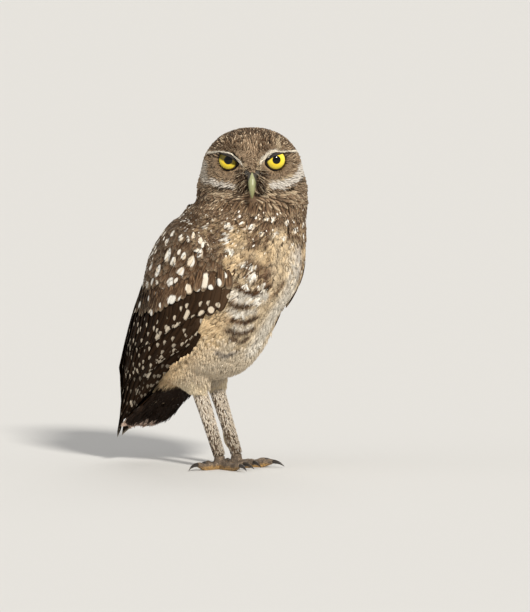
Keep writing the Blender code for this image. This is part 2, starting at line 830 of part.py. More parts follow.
def make_tail(*neighbours):
    """Pairs of tail feathers fanned a little, the middle one on top, rooted in their coverts."""
    root, run, up, length = tail_axes()
    aside = Vector((1, 0, 0))
    vanes = []
    for pair in range(TAIL_PAIRS):
        for side in (-1, 1):
            out = side * pair / (TAIL_PAIRS - 1)
            reach = length * (1 - 0.075 * out * out)
            level = -TIER_STEP * (pair + (0.5 if side > 0 else 0.0))

            def place(t, share, lift, out=out, reach=reach, level=level):
                turn = TAIL_FAN * out
                sideways = aside * (TAIL_SPREAD * out + math.sin(turn) * t * reach + share * MM)
                arch = -TAIL_ARCH * out * out * t
                return root + sideways + run * math.cos(turn) * t * reach + up * (lift + level + arch)

            tilt = 0.1 * out
            if pair or side > 0:
                vanes.append(vane(place, (0.2, 0.0), (1.0, 0.0), RECTRIX_WIDTH, 0.0, tilt, TAIL_BLADE))
    rings = []
    for i in range(6):
        far, wide, deep = along(TAIL_CORE, (len(TAIL_CORE) - 1) * i / 5)
        centre = root + run * length * far - up * TIER_STEP * 2.2
        turns = (math.tau * j / 14 for j in range(14))
        rings.append([centre + MM * (aside * wide * math.cos(a) + up * deep * math.sin(a)) for a in turns])
    core = loft("tail", rings)
    combine(core, vanes, "UNION")
    return cut_clear(core, *neighbours)


def finish_nodes(nodes, finishes):
    for node, finish in nodes:
        if not node.data.materials:
            node.data.materials.append(finishes[finish])
        node.data.shade_smooth()
        node.data.set_sharp_from_angle(angle=math.radians(40))


def stand_on_origin(nodes):
    """Parents every node to one empty and sets the middle of the bird's base on the origin."""
    bpy.context.view_layer.update()
    corners = np.array([tuple(n.matrix_world @ v.co) for n in nodes for v in n.data.vertices])
    low, high = corners.min(axis=0), corners.max(axis=0)
    holder = bpy.data.objects.new("owl", None)
    holder.location = (-(low[0] + high[0]) / 2, -(low[1] + high[1]) / 2, -low[2])
    bpy.context.scene.collection.objects.link(holder)
    for node in nodes:
        node.parent = holder


def build():
    clear_scene()
    finishes = {
        "brown": material("brown_feathers", (0.13, 0.08, 0.05), 0.85),
        "buff": material("buff_feathers", (0.62, 0.50, 0.34), 0.9),
        "eye": material("yellow_eye", (0.85, 0.62, 0.05), 0.1),
        "bill": material("horn_bill", (0.55, 0.55, 0.36), 0.4),
        "skin": material("scaly_toes", (0.35, 0.25, 0.14), 0.7),
        "claw": material("dark_claw", (0.03, 0.025, 0.02), 0.3),
    }
    head, eyes, bill = make_head(finishes)
    neck = make_neck()
    torso = make_torso()
    nodes = [(head, "brown"), (neck, "brown"), (torso, "buff")]
    nodes += [(eye, "eye") for eye in eyes] + [(half, "bill") for half in bill]
    claw = claw_mesh()
    claw.materials.append(finishes["claw"])
    thighs = []
    for name in FEET:
        leg = make_leg(name)
        foot = cut_clear(make_foot(name), leg)
        thighs.append(cut_clear(make_thigh(name), torso, leg, *thighs))
        nodes += [(thighs[-1], "buff"), (leg, "buff"), (foot, "skin")]
        nodes += [(each, "claw") for each in place_claws(name, claw)]
    tail = make_tail(torso, *thighs)
    wing_right = make_wing(-1, "wing_right", torso, tail, *thighs)
    wing_left = make_wing(1, "wing_left", torso, tail, wing_right, *thighs)
    nodes += [(wing_right, "brown"), (wing_left, "brown"), (tail, "brown")]
    finish_nodes(nodes, finishes)
    stand_on_origin([node for node, _ in nodes])


build()
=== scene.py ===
"""Burrowing owl, life size, standing on both feet with its head turned to its right.

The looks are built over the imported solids: one skin in place of the flesh, then the feathers tract by
tract, the eyes, the bill and the feet. Lengths are in metres, and names that end in _MM are in millimetres.
"""

import math

import bmesh
import bpy
import numpy as np
from mathutils import Matrix, Vector
from mathutils.bvhtree import BVHTree
from mathutils.kdtree import KDTree


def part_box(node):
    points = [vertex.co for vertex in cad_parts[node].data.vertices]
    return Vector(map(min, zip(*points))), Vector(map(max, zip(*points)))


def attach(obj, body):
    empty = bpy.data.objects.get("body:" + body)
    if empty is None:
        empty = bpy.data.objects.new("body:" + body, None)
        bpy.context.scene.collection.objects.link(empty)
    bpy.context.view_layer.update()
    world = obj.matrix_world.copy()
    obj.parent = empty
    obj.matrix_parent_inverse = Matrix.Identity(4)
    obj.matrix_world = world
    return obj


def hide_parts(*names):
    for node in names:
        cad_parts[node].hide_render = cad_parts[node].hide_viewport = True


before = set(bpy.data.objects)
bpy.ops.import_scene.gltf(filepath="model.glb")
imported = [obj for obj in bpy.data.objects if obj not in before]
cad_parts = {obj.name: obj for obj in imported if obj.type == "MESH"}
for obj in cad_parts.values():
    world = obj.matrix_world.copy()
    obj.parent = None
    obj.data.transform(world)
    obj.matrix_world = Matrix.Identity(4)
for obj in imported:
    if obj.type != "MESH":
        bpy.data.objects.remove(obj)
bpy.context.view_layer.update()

# The owl's own directions
# The body faces -Y with its left towards +X. The head is turned to its right, so the head's directions
# come from its two eyes, and the trunk is followed by stations down its leaning middle line.

MM = 0.001


def middle_of(node):
    low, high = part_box(node)
    return np.array((low + high) / 2)


EYES = {"right": middle_of("eye_right"), "left": middle_of("eye_left")}
EYE_SETBACK_MM = 16.9
across_eyes = EYES["left"] - EYES["right"]
HEAD_LEFT = across_eyes / np.linalg.norm(across_eyes)
HEAD_AHEAD = np.array((HEAD_LEFT[1], -HEAD_LEFT[0], 0.0))
HEAD_AXES = np.array((HEAD_LEFT, HEAD_AHEAD, (0.0, 0.0, 1.0)))
HEAD_AXIS = (EYES["left"] + EYES["right"]) / 2 - HEAD_AHEAD * EYE_SETBACK_MM * MM
HEAD_AXIS[2] = 0.0


def in_head(points):
    """Places in the head's own millimetres: towards its left, ahead, and up from the floor."""
    return (points - HEAD_AXIS) @ HEAD_AXES.T / MM


# The trunk's middle line from inside the head to the wing tips: forward of the line through the head's
# axis, height, and lean of the section there in degrees. Rows are about 20 mm apart.
FIRST_STATION = -2.0
SPINE_MM = np.array(
    [
        (0.0, 215, 0),
        (-0.5, 194, 1),
        (-3.5, 173, 5),
        (-8.5, 160, 15),
        (-17.5, 142, 24),
        (-27.5, 122, 28),
        (-38.5, 102, 30),
        (-50.5, 83, 32),
        (-64.5, 65, 36),
        (-78.5, 50, 38),
        (-92.5, 36, 32),
        (-106.5, 21, 30),
        (-118.5, 6, 30),
        (-129.5, -10, 30),
    ],
    dtype=float,
)
STATION_MM = 20.5


def along(table, row):
    """A smooth curve through the rows of a table, read at an array of row numbers."""
    row = np.clip(row, 0.0, len(table) - 1.0001)
    i = row.astype(int)
    u = (row - i)[:, None]
    before, first, second, after = (table[np.clip(i + k, 0, len(table) - 1)] for k in (-1, 0, 1, 2))
    straight = first * (1 + 2 * u) * (1 - u) ** 2 + second * u * u * (3 - 2 * u)
    return straight + (second - before) / 2 * u * (1 - u) ** 2 - (after - first) / 2 * u * u * (1 - u)


def section(t):
    """The trunk's sections at stations t: their centres, the way ahead in them and the way down the trunk."""
    forward, height, lean = along(SPINE_MM, t - FIRST_STATION).T
    lean = np.radians(lean)
    none = np.zeros_like(lean)
    centre = np.stack((none, HEAD_AXIS[1] - forward * MM, height * MM), axis=1)
    ahead = np.stack((none, -np.cos(lean), -np.sin(lean)), axis=1)
    down = np.stack((none, np.sin(lean), -np.cos(lean)), axis=1)
    return centre, ahead, down


SECTIONS_TRIED = 200
POINTS_AT_ONCE = 20000


def chart_of(points):
    """The station of each point and its angle round the trunk, from the breast towards the bird's left."""
    stations = np.linspace(FIRST_STATION, len(SPINE_MM) + FIRST_STATION - 1.01, SECTIONS_TRIED)
    centre, _, down = section(stations)
    found = np.empty(len(points))
    for start in range(0, len(points), POINTS_AT_ONCE):
        some = slice(start, start + POINTS_AT_ONCE)
        past = points[some] @ down.T - np.sum(centre * down, axis=1)
        found[some] = stations[np.argmax(past < 0, axis=1)]
    centre, ahead, down = section(found)
    found += np.sum((points - centre) * down, axis=1) / (STATION_MM * MM)
    centre, ahead, down = section(found)
    offset = points - centre
    return found, np.arctan2(offset[:, 0], np.sum(offset * ahead, axis=1))


# Camera and studio
# The photograph looks at the bird from its front right and a little above it, from far off. The floor is
# a wide pale sheet, lit by a soft high key light from a little to the right of the camera.

CAMERA_AZIMUTH = math.radians(-48)
CAMERA_ELEVATION = math.radians(4)
CAMERA_DISTANCE = 6.0
FRAME_HEIGHT = 0.4039
AIM_RIGHT = 0.0231
AIM_UP = 0.1069
view_right = Vector((math.cos(CAMERA_AZIMUTH), math.sin(CAMERA_AZIMUTH), 0))
view_back = Vector(
    (
        math.sin(CAMERA_AZIMUTH) * math.cos(CAMERA_ELEVATION),
        -math.cos(CAMERA_AZIMUTH) * math.cos(CAMERA_ELEVATION),
        math.sin(CAMERA_ELEVATION),
    )
)
view_up = view_back.cross(view_right)
SPINE_TO_FEET = 0.0195
aim = Vector((0, HEAD_AXIS[1] + SPINE_TO_FEET, 0)) + view_right * AIM_RIGHT + view_up * AIM_UP

camera_data = bpy.data.cameras.new("camera")
camera = bpy.data.objects.new("camera", camera_data)
bpy.context.scene.collection.objects.link(camera)
camera.matrix_world = Matrix.Translation(aim + view_back * CAMERA_DISTANCE) @ Matrix(
    (view_right, view_up, view_back)
).transposed().to_4x4()
camera_data.sensor_width = 36
camera_data.lens = camera_data.sensor_width * CAMERA_DISTANCE / FRAME_HEIGHT
camera_data.clip_end = 40
bpy.context.scene.camera = camera


def soft_light(name, azimuth, elevation, strength, spread, colour):
    """A broad, distant lamp that shines from a compass direction, 0 being straight ahead of the body."""
    data = bpy.data.lights.new(name, "SUN")
    data.angle = math.radians(spread)
    data.energy = strength
    data.color = colour
    lamp = bpy.data.objects.new(name, data)
    bpy.context.scene.collection.objects.link(lamp)
    turn = math.radians(azimuth)
    rise = math.radians(elevation)
    way = Vector((math.sin(turn) * math.cos(rise), -math.cos(turn) * math.cos(rise), math.sin(rise)))
    lamp.matrix_world = way.to_track_quat("Z", "Y").to_matrix().to_4x4()


soft_light("key", azimuth=-26, elevation=33, strength=3.7, spread=8, colour=(1.0, 0.955, 0.88))
soft_light("fill", azimuth=-120, elevation=22, strength=0.3, spread=60, colour=(0.97, 0.98, 1.0))
soft_light("rim", azimuth=120, elevation=45, strength=0.5, spread=40, colour=(1.0, 0.98, 0.95))

SKY_COLOUR = (0.98, 0.96, 0.94, 1)
SKY_STRENGTH = 0.42
world = bpy.data.worlds.new("studio")
world.use_nodes = True
sky = world.node_tree.nodes["Background"]
sky.inputs["Color"].default_value = SKY_COLOUR
sky.inputs["Strength"].default_value = SKY_STRENGTH
bpy.context.scene.world = world
bpy.context.scene.view_settings.view_transform = "Standard"

FLOOR_RADIUS = 9
FLOOR_GREY = (0.66, 0.66, 0.65, 1)
bm = bmesh.new()
bmesh.ops.create_circle(bm, cap_ends=True, segments=64, radius=FLOOR_RADIUS)
floor_mesh = bpy.data.meshes.new("floor")
bm.to_mesh(floor_mesh)
bm.free()
floor = bpy.data.objects.new("floor", floor_mesh)
bpy.context.scene.collection.objects.link(floor)
pale_floor = bpy.data.materials.new("pale_floor")
pale_floor.use_nodes = True
sheet = pale_floor.node_tree.nodes["Principled BSDF"]
sheet.inputs["Base Color"].default_value = FLOOR_GREY
sheet.inputs["Roughness"].default_value = 0.9
floor_mesh.materials.append(pale_floor)

# Skin
# One closed skin under all the feathers, with no seam where the solids meet. It is the flesh nodes joined,
# then drawn in by the depth of the coat, and it carries the plumage's ground colours.

FLESH = ("head", "neck", "torso", "thigh_right", "thigh_left", "wing_right", "wing_left", "tail")
SHANKS = ("leg_right", "leg_left")
COAT_DEPTH = 1.4 * MM
SKIN_VOXEL = 1.2 * MM
SEAM_CLOSING = 0.35 * MM
SKIN_SMOOTHING = 6
SAME_PLACE = 1e-6


def joined_copy(name, nodes):
    """One new object from merged copies of CAD nodes, swollen a little so that their seams close."""
    bm = bmesh.new()
    for node in nodes:
        part = bmesh.new()
        part.from_mesh(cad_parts[node].data)
        bmesh.ops.remove_doubles(part, verts=part.verts, dist=SAME_PLACE)
        bmesh.ops.recalc_face_normals(part, faces=part.faces)
        part.normal_update()
        for vertex in part.verts:
            vertex.co += vertex.normal * SEAM_CLOSING
        mesh = bpy.data.meshes.new("part")
        part.to_mesh(mesh)
        part.free()
        bm.from_mesh(mesh)
        bpy.data.meshes.remove(mesh)
    return object_of(bm, name)


def object_of(bm, name):
    mesh = bpy.data.meshes.new(name)
    bm.to_mesh(mesh)
    bm.free()
    made = bpy.data.objects.new(name, mesh)
    bpy.context.scene.collection.objects.link(made)
    return made


def apply_modifiers(obj):
    """Replaces an object's mesh by what its modifiers make of it."""
    graph = bpy.context.evaluated_depsgraph_get()
    mesh = bpy.data.meshes.new_from_object(obj.evaluated_get(graph))
    obj.modifiers.clear()
    obj.data = mesh


def draw_in(obj, depth, voxel):
    """Remeshes an object as one surface that lies inside the old one by a depth.

    The volume fades inwards over twice the depth, so the surface lies where it is half full.
    """
    group = bpy.data.node_groups.new("drawn_in", "GeometryNodeTree")
    group.interface.new_socket("Geometry", in_out="INPUT", socket_type="NodeSocketGeometry")
    group.interface.new_socket("Geometry", in_out="OUTPUT", socket_type="NodeSocketGeometry")
    entry = group.nodes.new("NodeGroupInput")
    filled = group.nodes.new("GeometryNodeMeshToVolume")
    filled.resolution_mode = "VOXEL_SIZE"
    filled.inputs["Voxel Size"].default_value = voxel
    filled.inputs["Interior Band Width"].default_value = 2 * depth
    surface = group.nodes.new("GeometryNodeVolumeToMesh")
    surface.inputs["Threshold"].default_value = 0.5
    leave = group.nodes.new("NodeGroupOutput")
    group.links.new(entry.outputs[0], filled.inputs["Mesh"])
    group.links.new(filled.outputs["Volume"], surface.inputs["Volume"])
    group.links.new(surface.outputs["Mesh"], leave.inputs[0])
    obj.modifiers.new("Drawn in", "NODES").node_group = group
    smooth = obj.modifiers.new("Smooth", "SMOOTH")
    smooth.iterations = SKIN_SMOOTHING
    apply_modifiers(obj)
    bpy.data.node_groups.remove(group)


def array_of(mesh, what, size, kind=np.float32):
    """A mesh's coordinates or indices as an array: what is vertices.co or loops.vertex_index, say."""
    rows, name = what.split(".")
    rows = getattr(mesh, rows)
    flat = np.empty(len(rows) * size, kind)
    rows.foreach_get(name, flat)
    return flat.reshape(-1, size) if size > 1 else flat


skin = joined_copy("skin", FLESH + SHANKS)
remesh = skin.modifiers.new("Remesh", "REMESH")
remesh.mode = "VOXEL"
remesh.voxel_size = SKIN_VOXEL
draw_in(skin, COAT_DEPTH, SKIN_VOXEL)

SHADE_BROWN = (0.028, 0.014, 0.007)
BROWN = (0.105, 0.062, 0.034)
GREY_BROWN = (0.20, 0.135, 0.085)
CREAM = (0.72, 0.59, 0.41)
WHITE = (0.86, 0.82, 0.74)


def ramp(x, low, high):
    """0 below low, 1 above high and smooth between; low may be the higher one."""
    u = np.clip((x - low) / (high - low), 0.0, 1.0)
    return u * u * (3 - 2 * u)


def band(x, low, high, soft):
    return ramp(x, low - soft, low + soft) * ramp(x, high + soft, high - soft)


def toward(colours, other, share):
    """Blends rows of colours towards another colour by a share for each row."""
    share = np.asarray(share)[:, None]
    return colours * (1 - share) + np.asarray(other) * share


def off_line(x, y, line):
    """Distance of places (x, y) from a line of points."""
    best = np.full(len(x), 1e9)
    for (x0, y0), (x1, y1) in zip(line, line[1:]):
        run_x, run_y = x1 - x0, y1 - y0
        share = np.clip(((x - x0) * run_x + (y - y0) * run_y) / (run_x**2 + run_y**2), 0, 1)
        best = np.minimum(best, np.hypot(x - x0 - run_x * share, y - y0 - run_y * share))
    return best


def daubed(colours, x, y, daubs, share=1.0):
    """Lays daubs over colours. Each is a colour, a line, half its width, its softness and its strength."""
    for colour, line, half, soft, strength in daubs:
        there = ramp(off_line(x, y, line), half + soft, half - soft)
        colours = toward(colours, colour, share * strength * there)
    return colours


MM_OF_DEGREE = 0.7


def in_chart_mm(daubs):
    """Daubs whose lines are angles in degrees and stations, with the lines turned into millimetres."""
    return [(c, [(a * MM_OF_DEGREE, t * STATION_MM) for a, t in line], *rest) for c, line, *rest in daubs]


# The breast's patches, white rows and dark arcs on the bird's right, as lines of angles and stations.
CHEST_BROWN = (0.165, 0.098, 0.058)
BAR_BROWN = (0.085, 0.042, 0.020)
RUST = (0.42, 0.235, 0.105)
PALE_BUFF = (0.82, 0.63, 0.385)
BREAST_DAUBS = in_chart_mm((
    (PALE_BUFF, ((-54, 0.8), (-51, 1.3), (-48, 1.95)), 5.5, 3.0, 0.85),
    (CREAM, ((-47, 1.1), (-46, 1.6), (-44, 2.0)), 2.6, 2.2, 0.8),
    (CREAM, ((-14, 0.75), (-11, 1.2), (-7, 1.75), (-4, 2.4)), 6.0, 3.0, 1.0),
    (WHITE, ((12, 1.4), (12, 2.0), (10, 3.0), (6, 4.0)), 7.5, 4.5, 0.8),
    (PALE_BUFF, ((-42, 1.5), (-31, 1.3), (-22, 1.25)), 4.0, 3.5, 0.75),
    (CREAM, ((-36, 1.35), (-28, 1.3)), 2.0, 2.5, 0.7),
    (CHEST_BROWN, ((-35, 1.62), (-28, 1.75), (-18, 1.95)), 4.6, 1.8, 0.9),
    (PALE_BUFF, ((-52, 2.75), (-47, 3.6), (-40, 4.4)), 8.0, 4.0, 0.75),
    (WHITE, ((-42, 2.42), (-33, 2.48), (-24, 2.43), (-15, 2.32)), 3.1, 1.2, 0.95),
    (WHITE, ((-38, 2.93), (-28, 2.95), (-17, 2.8)), 2.0, 1.1, 0.8),
    (WHITE, ((-28, 3.38), (-20, 3.4), (-12, 3.26)), 1.3, 0.8, 0.8),
    (RUST, ((-34, 3.2), (-27, 3.2)), 2.2, 1.5, 0.55),
    (RUST, ((-41, 2.62), (-36, 2.7)), 1.6, 1.2, 0.6),
    (RUST, ((-9, 2.3), (-4, 2.1), (-1, 1.9)), 1.6, 1.3, 0.45),
    (BAR_BROWN, ((-5, 2.22), (-2, 1.9)), 1.0, 0.7, 0.85),
))
BREAST_ARCS = in_chart_mm((
    (BAR_BROWN, ((-42, 2.13), (-36, 2.21), (-27, 2.26), (-20, 2.18), (-14, 2.03)), 1.9, 0.6, 1.0),
    (BAR_BROWN, ((-38, 2.7), (-31, 2.74), (-25, 2.68)), 1.9, 0.6, 1.0),
    (BAR_BROWN, ((-25, 2.64), (-16, 2.54)), 0.8, 0.5, 0.8),
    (BAR_BROWN, ((-32, 3.16), (-21, 3.2), (-12, 2.99)), 2.0, 0.7, 1.0),
    (BAR_BROWN, ((-33, 3.53), (-20, 3.57), (-9, 3.38)), 1.7, 0.7, 0.95),
    (BAR_BROWN, ((-26, 3.76), (-16, 3.81), (-9, 3.65)), 1.4, 0.6, 0.95),
    (BAR_BROWN, ((-33, 4.3), (-22, 4.36), (-15, 4.14)), 1.5, 0.7, 0.9),
))
BLOTCH_MM = 2.6


def mottling(x, y):
    """Soft irregular blotches over places in millimetres, from -1 to 1."""
    a, b = x / BLOTCH_MM, y / BLOTCH_MM
    return np.sin(a * 1.9 + 1.7 * np.sin(b * 1.3)) * np.sin(b * 1.7 + 1.5 * np.sin(a * 1.1 + 2.0))


def trunk_plumage(t, angle):
    """Ground colours of neck, breast, belly and back."""
    degrees = np.degrees(angle)
    off = np.abs(degrees)
    colours = np.tile(np.array(CREAM), (len(t), 1))
    colours = toward(colours, PALE_BUFF, 0.7 * ramp(off, 34, 56) * ramp(t, 2.4, 3.4))
    colours = toward(colours, PALE_BUFF, 0.4 * ramp(t, 4.4, 5.4) * ramp(degrees, 0, -20))
    colours = toward(colours, CHEST_BROWN, 0.95 * ramp(t, 1.98, 1.84) * ramp(off, 8, 16))
    colours = toward(colours, CHEST_BROWN, 0.95 * ramp(t, 1.05, 0.7))
    x, y = degrees * MM_OF_DEGREE, t * STATION_MM
    colours = daubed(colours, x, y, BREAST_DAUBS)
    colours = daubed(colours, x, y, BREAST_ARCS)
    colours = daubed(colours, -x, y, BREAST_DAUBS, ramp(degrees, 16, 30))
    colours = daubed(colours, -x, y, BREAST_ARCS, 0.5 * ramp(degrees, 26, 36))
    blotch = mottling(x, y)
    on_chest = 0.45 * ramp(blotch, 0.1, 0.6) * ramp(t, 2.3, 1.8) * ramp(t, 0.2, 0.7)
    colours = toward(colours, PALE_BUFF, on_chest)
    colours = toward(colours, CHEST_BROWN, 0.4 * ramp(blotch, -0.15, -0.6) * ramp(t, 2.6, 2.0))
    on_flank = 0.25 * ramp(blotch, -0.2, -0.7) * ramp(t, 2.2, 2.8) * ramp(degrees, -25, -42)
    colours = toward(colours, RUST, on_flank)
    colours = toward(colours, GREY_BROWN, 0.55 * ramp(t, 0.45, 0.1) * ramp(off, 100, 60))
    streaks = mottling(x * 2.1 + 3, y * 1.2)
    colours = toward(colours, PALE_BUFF, 0.4 * ramp(streaks, 0.2, 0.7) * ramp(t, 1.3, 0.8))
    colours = toward(colours, SHADE_BROWN, 0.5 * ramp(streaks, -0.3, -0.8) * ramp(t, 1.6, 1.0))
    return toward(colours, BROWN, ramp(off, 88, 102))


# The white and dark marks of the face, as lines of places left of its middle and up from the floor.
BROWS_MM = {
    "right": (
        (-6, 202.2), (-8.6, 204.9), (-11.2, 207.4), (-13.8, 209.3), (-17.5, 210.6), (-22, 211.0), (-30, 210.4)
    ),
    "left": (
        (4.6, 202.8), (6.6, 205.2), (9.0, 207.8), (11.6, 209.8), (15.0, 211.0), (19.5, 210.9), (30.0, 211.5)
    ),
}
DISC_BROWN = (0.43, 0.32, 0.215)
TAN = (0.44, 0.315, 0.205)
DULL_WHITE = (0.60, 0.56, 0.49)
CHIN_WHITE = (0.98, 0.95, 0.89)
FACE_DAUBS = (
    (TAN, ((0, 203), (0, 210), (-2, 217)), 4.5, 3.0, 0.65),
    (TAN, ((13, 213.5), (19, 215), (25, 214)), 2.5, 2.0, 0.5),
    (SHADE_BROWN, ((-26, 215), (-18, 218.5), (-10, 220)), 2.0, 3.0, 0.3),
    (TAN, ((9, 192.5), (18, 193.5), (26, 196)), 1.8, 2.0, 0.6),
    (TAN, ((-9, 191.5), (-18, 193.5), (-26, 195.5)), 1.6, 2.0, 0.4),
    (SHADE_BROWN, ((-5.2, 198), (-5.4, 193), (-3.6, 187.0)), 2.2, 1.4, 0.95),
    (SHADE_BROWN, ((5.4, 197), (5.8, 193), (5.0, 190.0)), 2.0, 1.4, 0.92),
    (SHADE_BROWN, ((-28.5, 208.6), (-22, 209.3), (-17, 209.6)), 1.2, 1.0, 0.8),
    (SHADE_BROWN, ((28.5, 209.4), (24, 209.9)), 0.8, 0.8, 0.6),
    (CREAM, ((-3.0, 183.6), (-8.3, 186.2), (-13.3, 187.8)), 1.1, 0.6, 0.9),
    (CREAM, ((3.6, 185.6), (8, 186.6), (15.5, 188.0)), 1.7, 0.9, 0.85),
    (DULL_WHITE, ((-31.0, 191.5), (-32.2, 197), (-31.8, 202.0)), 2.4, 1.2, 0.95),
    (CHIN_WHITE, ((-13.0, 188.0), (-18.4, 189.0), (-23, 189.9), (-27.0, 191.4)), 1.9, 0.9, 0.85),
    (CREAM, ((11.5, 190.3), (19, 191.5), (25.5, 193.8)), 2.6, 1.0, 0.85),
    (CHIN_WHITE, ((14.5, 189.0), (22, 189.5), (27.6, 191.8), (31.6, 195.3), (33.8, 200.5)), 2.9, 0.8, 1.0),
    (SHADE_BROWN, ((-2.6, 181.6), (-9.0, 184.4), (-16.0, 186.0), (-26, 187.0), (-33, 188.6)), 0.9, 0.6, 0.95),
    (SHADE_BROWN, ((3.0, 182.6), (11.0, 184.0), (18.0, 185.0), (27.0, 186.4)), 0.9, 0.5, 0.9),
    (SHADE_BROWN, ((25.5, 186.5), (31.5, 189.5), (35, 193.5)), 1.3, 1.0, 0.6),
    (CREAM, ((-14, 182.4), (-22, 183.0), (-29, 183.8)), 0.6, 0.6, 0.6),
    (CREAM, ((5, 181.4), (12, 182.4), (20, 183.0), (29, 184.0)), 0.7, 0.6, 0.6),
    (CREAM, ((17.0, 213.0), (17.4, 216.5), (17.8, 219.5)), 1.5, 1.2, 0.85),
    (CREAM, ((-4.6, 199.5), (-5.6, 202.5), (-7.2, 204.6)), 1.3, 1.0, 0.7),
    (CREAM, ((4.4, 200.5), (5.4, 203.5), (7.6, 206.2)), 1.5, 1.0, 0.75),
    (WHITE, BROWS_MM["right"], 0.15, 0.3, 0.8),
    (WHITE, BROWS_MM["left"][1:5], 1.0, 0.7, 0.9),
    (WHITE, BROWS_MM["left"][4:], 0.15, 0.2, 0.6),
)

EYE_OUT_MM = float(in_head(EYES["left"][None])[0, 0])
EYE_UP_MM = float(EYES["left"][2] / MM)


def head_plumage(points):
    """Ground colours of the head."""
    x, y, z = in_head(points).T
    front = ramp(y, -2, 6)
    colours = np.tile(np.array(BROWN), (len(x), 1))
    colours = toward(colours, DISC_BROWN, 0.8 * front * ramp(z, 213, 208))
    colours = toward(colours, CHEST_BROWN, 0.7 * ramp(z, 186, 182))
    eye_gap = np.hypot(np.abs(x) - EYE_OUT_MM, z - EYE_UP_MM)
    colours = toward(colours, TAN, 0.35 * front * band(eye_gap, 8, 13, 2) * ramp(z, 206, 199))
    return daubed(colours, x, z, FACE_DAUBS, front)


DARKER_TONE = (0.42, 0.36, 0.30)


class Wire:
    """A shader value. Arithmetic on it adds Math nodes, and node() adds any other one."""

    def __init__(self, tree, socket=None):
        self.tree = tree
        self.socket = socket

    def node(self, kind, settings=(), inputs=(), output=0):
        """Adds a node: first its settings, then values or wires for its sockets, by name or number."""
        made = self.tree.nodes.new(kind)
        for key, value in dict(settings).items():
            setattr(made, key, value)
        for key, value in dict(inputs).items():
            if isinstance(value, Wire):
                self.tree.links.new(value.socket, made.inputs[key])
            else:
                made.inputs[key].default_value = value
        return Wire(self.tree, made.outputs[output])

    def maths(self, operation, *values):
        return self.node("ShaderNodeMath", {"operation": operation}, enumerate(values))

    def __add__(self, other):
        return self.maths("ADD", self, other)

    __radd__ = __add__

    def __sub__(self, other):
        return self.maths("SUBTRACT", self, other)

    def __rsub__(self, other):
        return self.maths("SUBTRACT", other, self)

    def __mul__(self, other):
        return self.maths("MULTIPLY", self, other)

    __rmul__ = __mul__

    def __truediv__(self, other):
        return self.maths("DIVIDE", self, other)

    def __abs__(self):
        return self.maths("ABSOLUTE", self)

    def sine(self):
        return self.maths("SINE", self)

    def root(self):
        return self.maths("SQRT", self)

    def or_more(self, least):
        return self.maths("MAXIMUM", self, least)

    def ramp(self, low, high):
        """0 below low, 1 above high and smooth between."""
        settings = {"interpolation_type": "SMOOTHSTEP"}
        return self.node("ShaderNodeMapRange", settings, {0: self, 1: low, 2: high, 3: 0.0, 4: 1.0})

    def blend(self, first, second):
        """Colour first where this mask is 0 and second where it is 1."""
        settings = {"data_type": "RGBA", "blend_type": "MIX"}
        first, second = ((*c, 1.0) if isinstance(c, tuple) else c for c in (first, second))
        return self.node("ShaderNodeMix", settings, {0: self, 6: first, 7: second}, 2)

    def dimmed(self, amount):
        """This colour turned towards a darker tone of itself by an amount."""
        settings = {"data_type": "RGBA", "blend_type": "MULTIPLY"}
        return self.node("ShaderNodeMix", settings, {0: amount, 6: self, 7: (*DARKER_TONE, 1.0)}, 2)

    def attribute(self, name, output="Vector"):
        return self.node("ShaderNodeAttribute", {"attribute_name": name}, (), output)

    def parts(self):
        """The three numbers of a vector."""
        split = self.node("ShaderNodeSeparateXYZ", (), {0: self}).socket.node
        return [Wire(self.tree, out) for out in split.outputs]


def material(name, roughness, specular, sheen=0.0):
    """A new material with its constants set, its Principled node and a wire to start from."""
    made = bpy.data.materials.new(name)
    made.use_nodes = True
    shader = made.node_tree.nodes["Principled BSDF"]
    shader.inputs["Roughness"].default_value = roughness
    shader.inputs["Specular IOR Level"].default_value = specular
    shader.inputs["Sheen Weight"].default_value = sheen
    return made, shader, Wire(made.node_tree)


def link(wire, shader, socket):
    wire.tree.links.new(wire.socket, shader.inputs[socket])


def bump(wire, shader, height, strength, distance):
    inputs = {"Height": height, "Strength": strength, "Distance": distance}
    link(wire.node("ShaderNodeBump", (), inputs), shader, "Normal")


MAP_MARGIN = 0.02
MAP_SPAN = 0.96
MAP_FIRST_STATION = -3
MAP_STATIONS = 14.5


def on_map(across, down):
    """Spots on the unwrapped sheet from shares across and down it, inside its margin."""
    return np.stack((MAP_MARGIN + MAP_SPAN * across, 1 - MAP_MARGIN - MAP_SPAN * down), axis=-1)


def unwrap_trunk(t, angle):
    """A place's spot on the unwrapped skin: round the trunk, and down it from the crown."""
    return on_map(angle / math.tau + 0.5, (t - MAP_FIRST_STATION) / MAP_STATIONS)


def set_map(mesh, corner_places):
    mesh.uv_layers.new(name="OFBake").data.foreach_set("uv", corner_places.astype(np.float32).ravel())


def middle_of_top(node):
    """The middle of the top few millimetres of a CAD node."""
    spots = np.array([tuple(vertex.co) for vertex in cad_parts[node].data.vertices])
    return spots[spots[:, 2] > spots[:, 2].max() - 4 * MM].mean(axis=0)


# How much deeper the coat is than the rest on the head's sides and crown, and the share of each thigh
# outside its core that is drawn in.
HEAD_SIDE_MM = 1.8
CROWN_MM = 0.1
THIGH_CORE_MM = 4.2
THIGH_SLIMMING = {"right": 0.2, "left": 0.65}
HEELS = {side: middle_of_top(f"leg_{side}") for side in THIGH_SLIMMING}

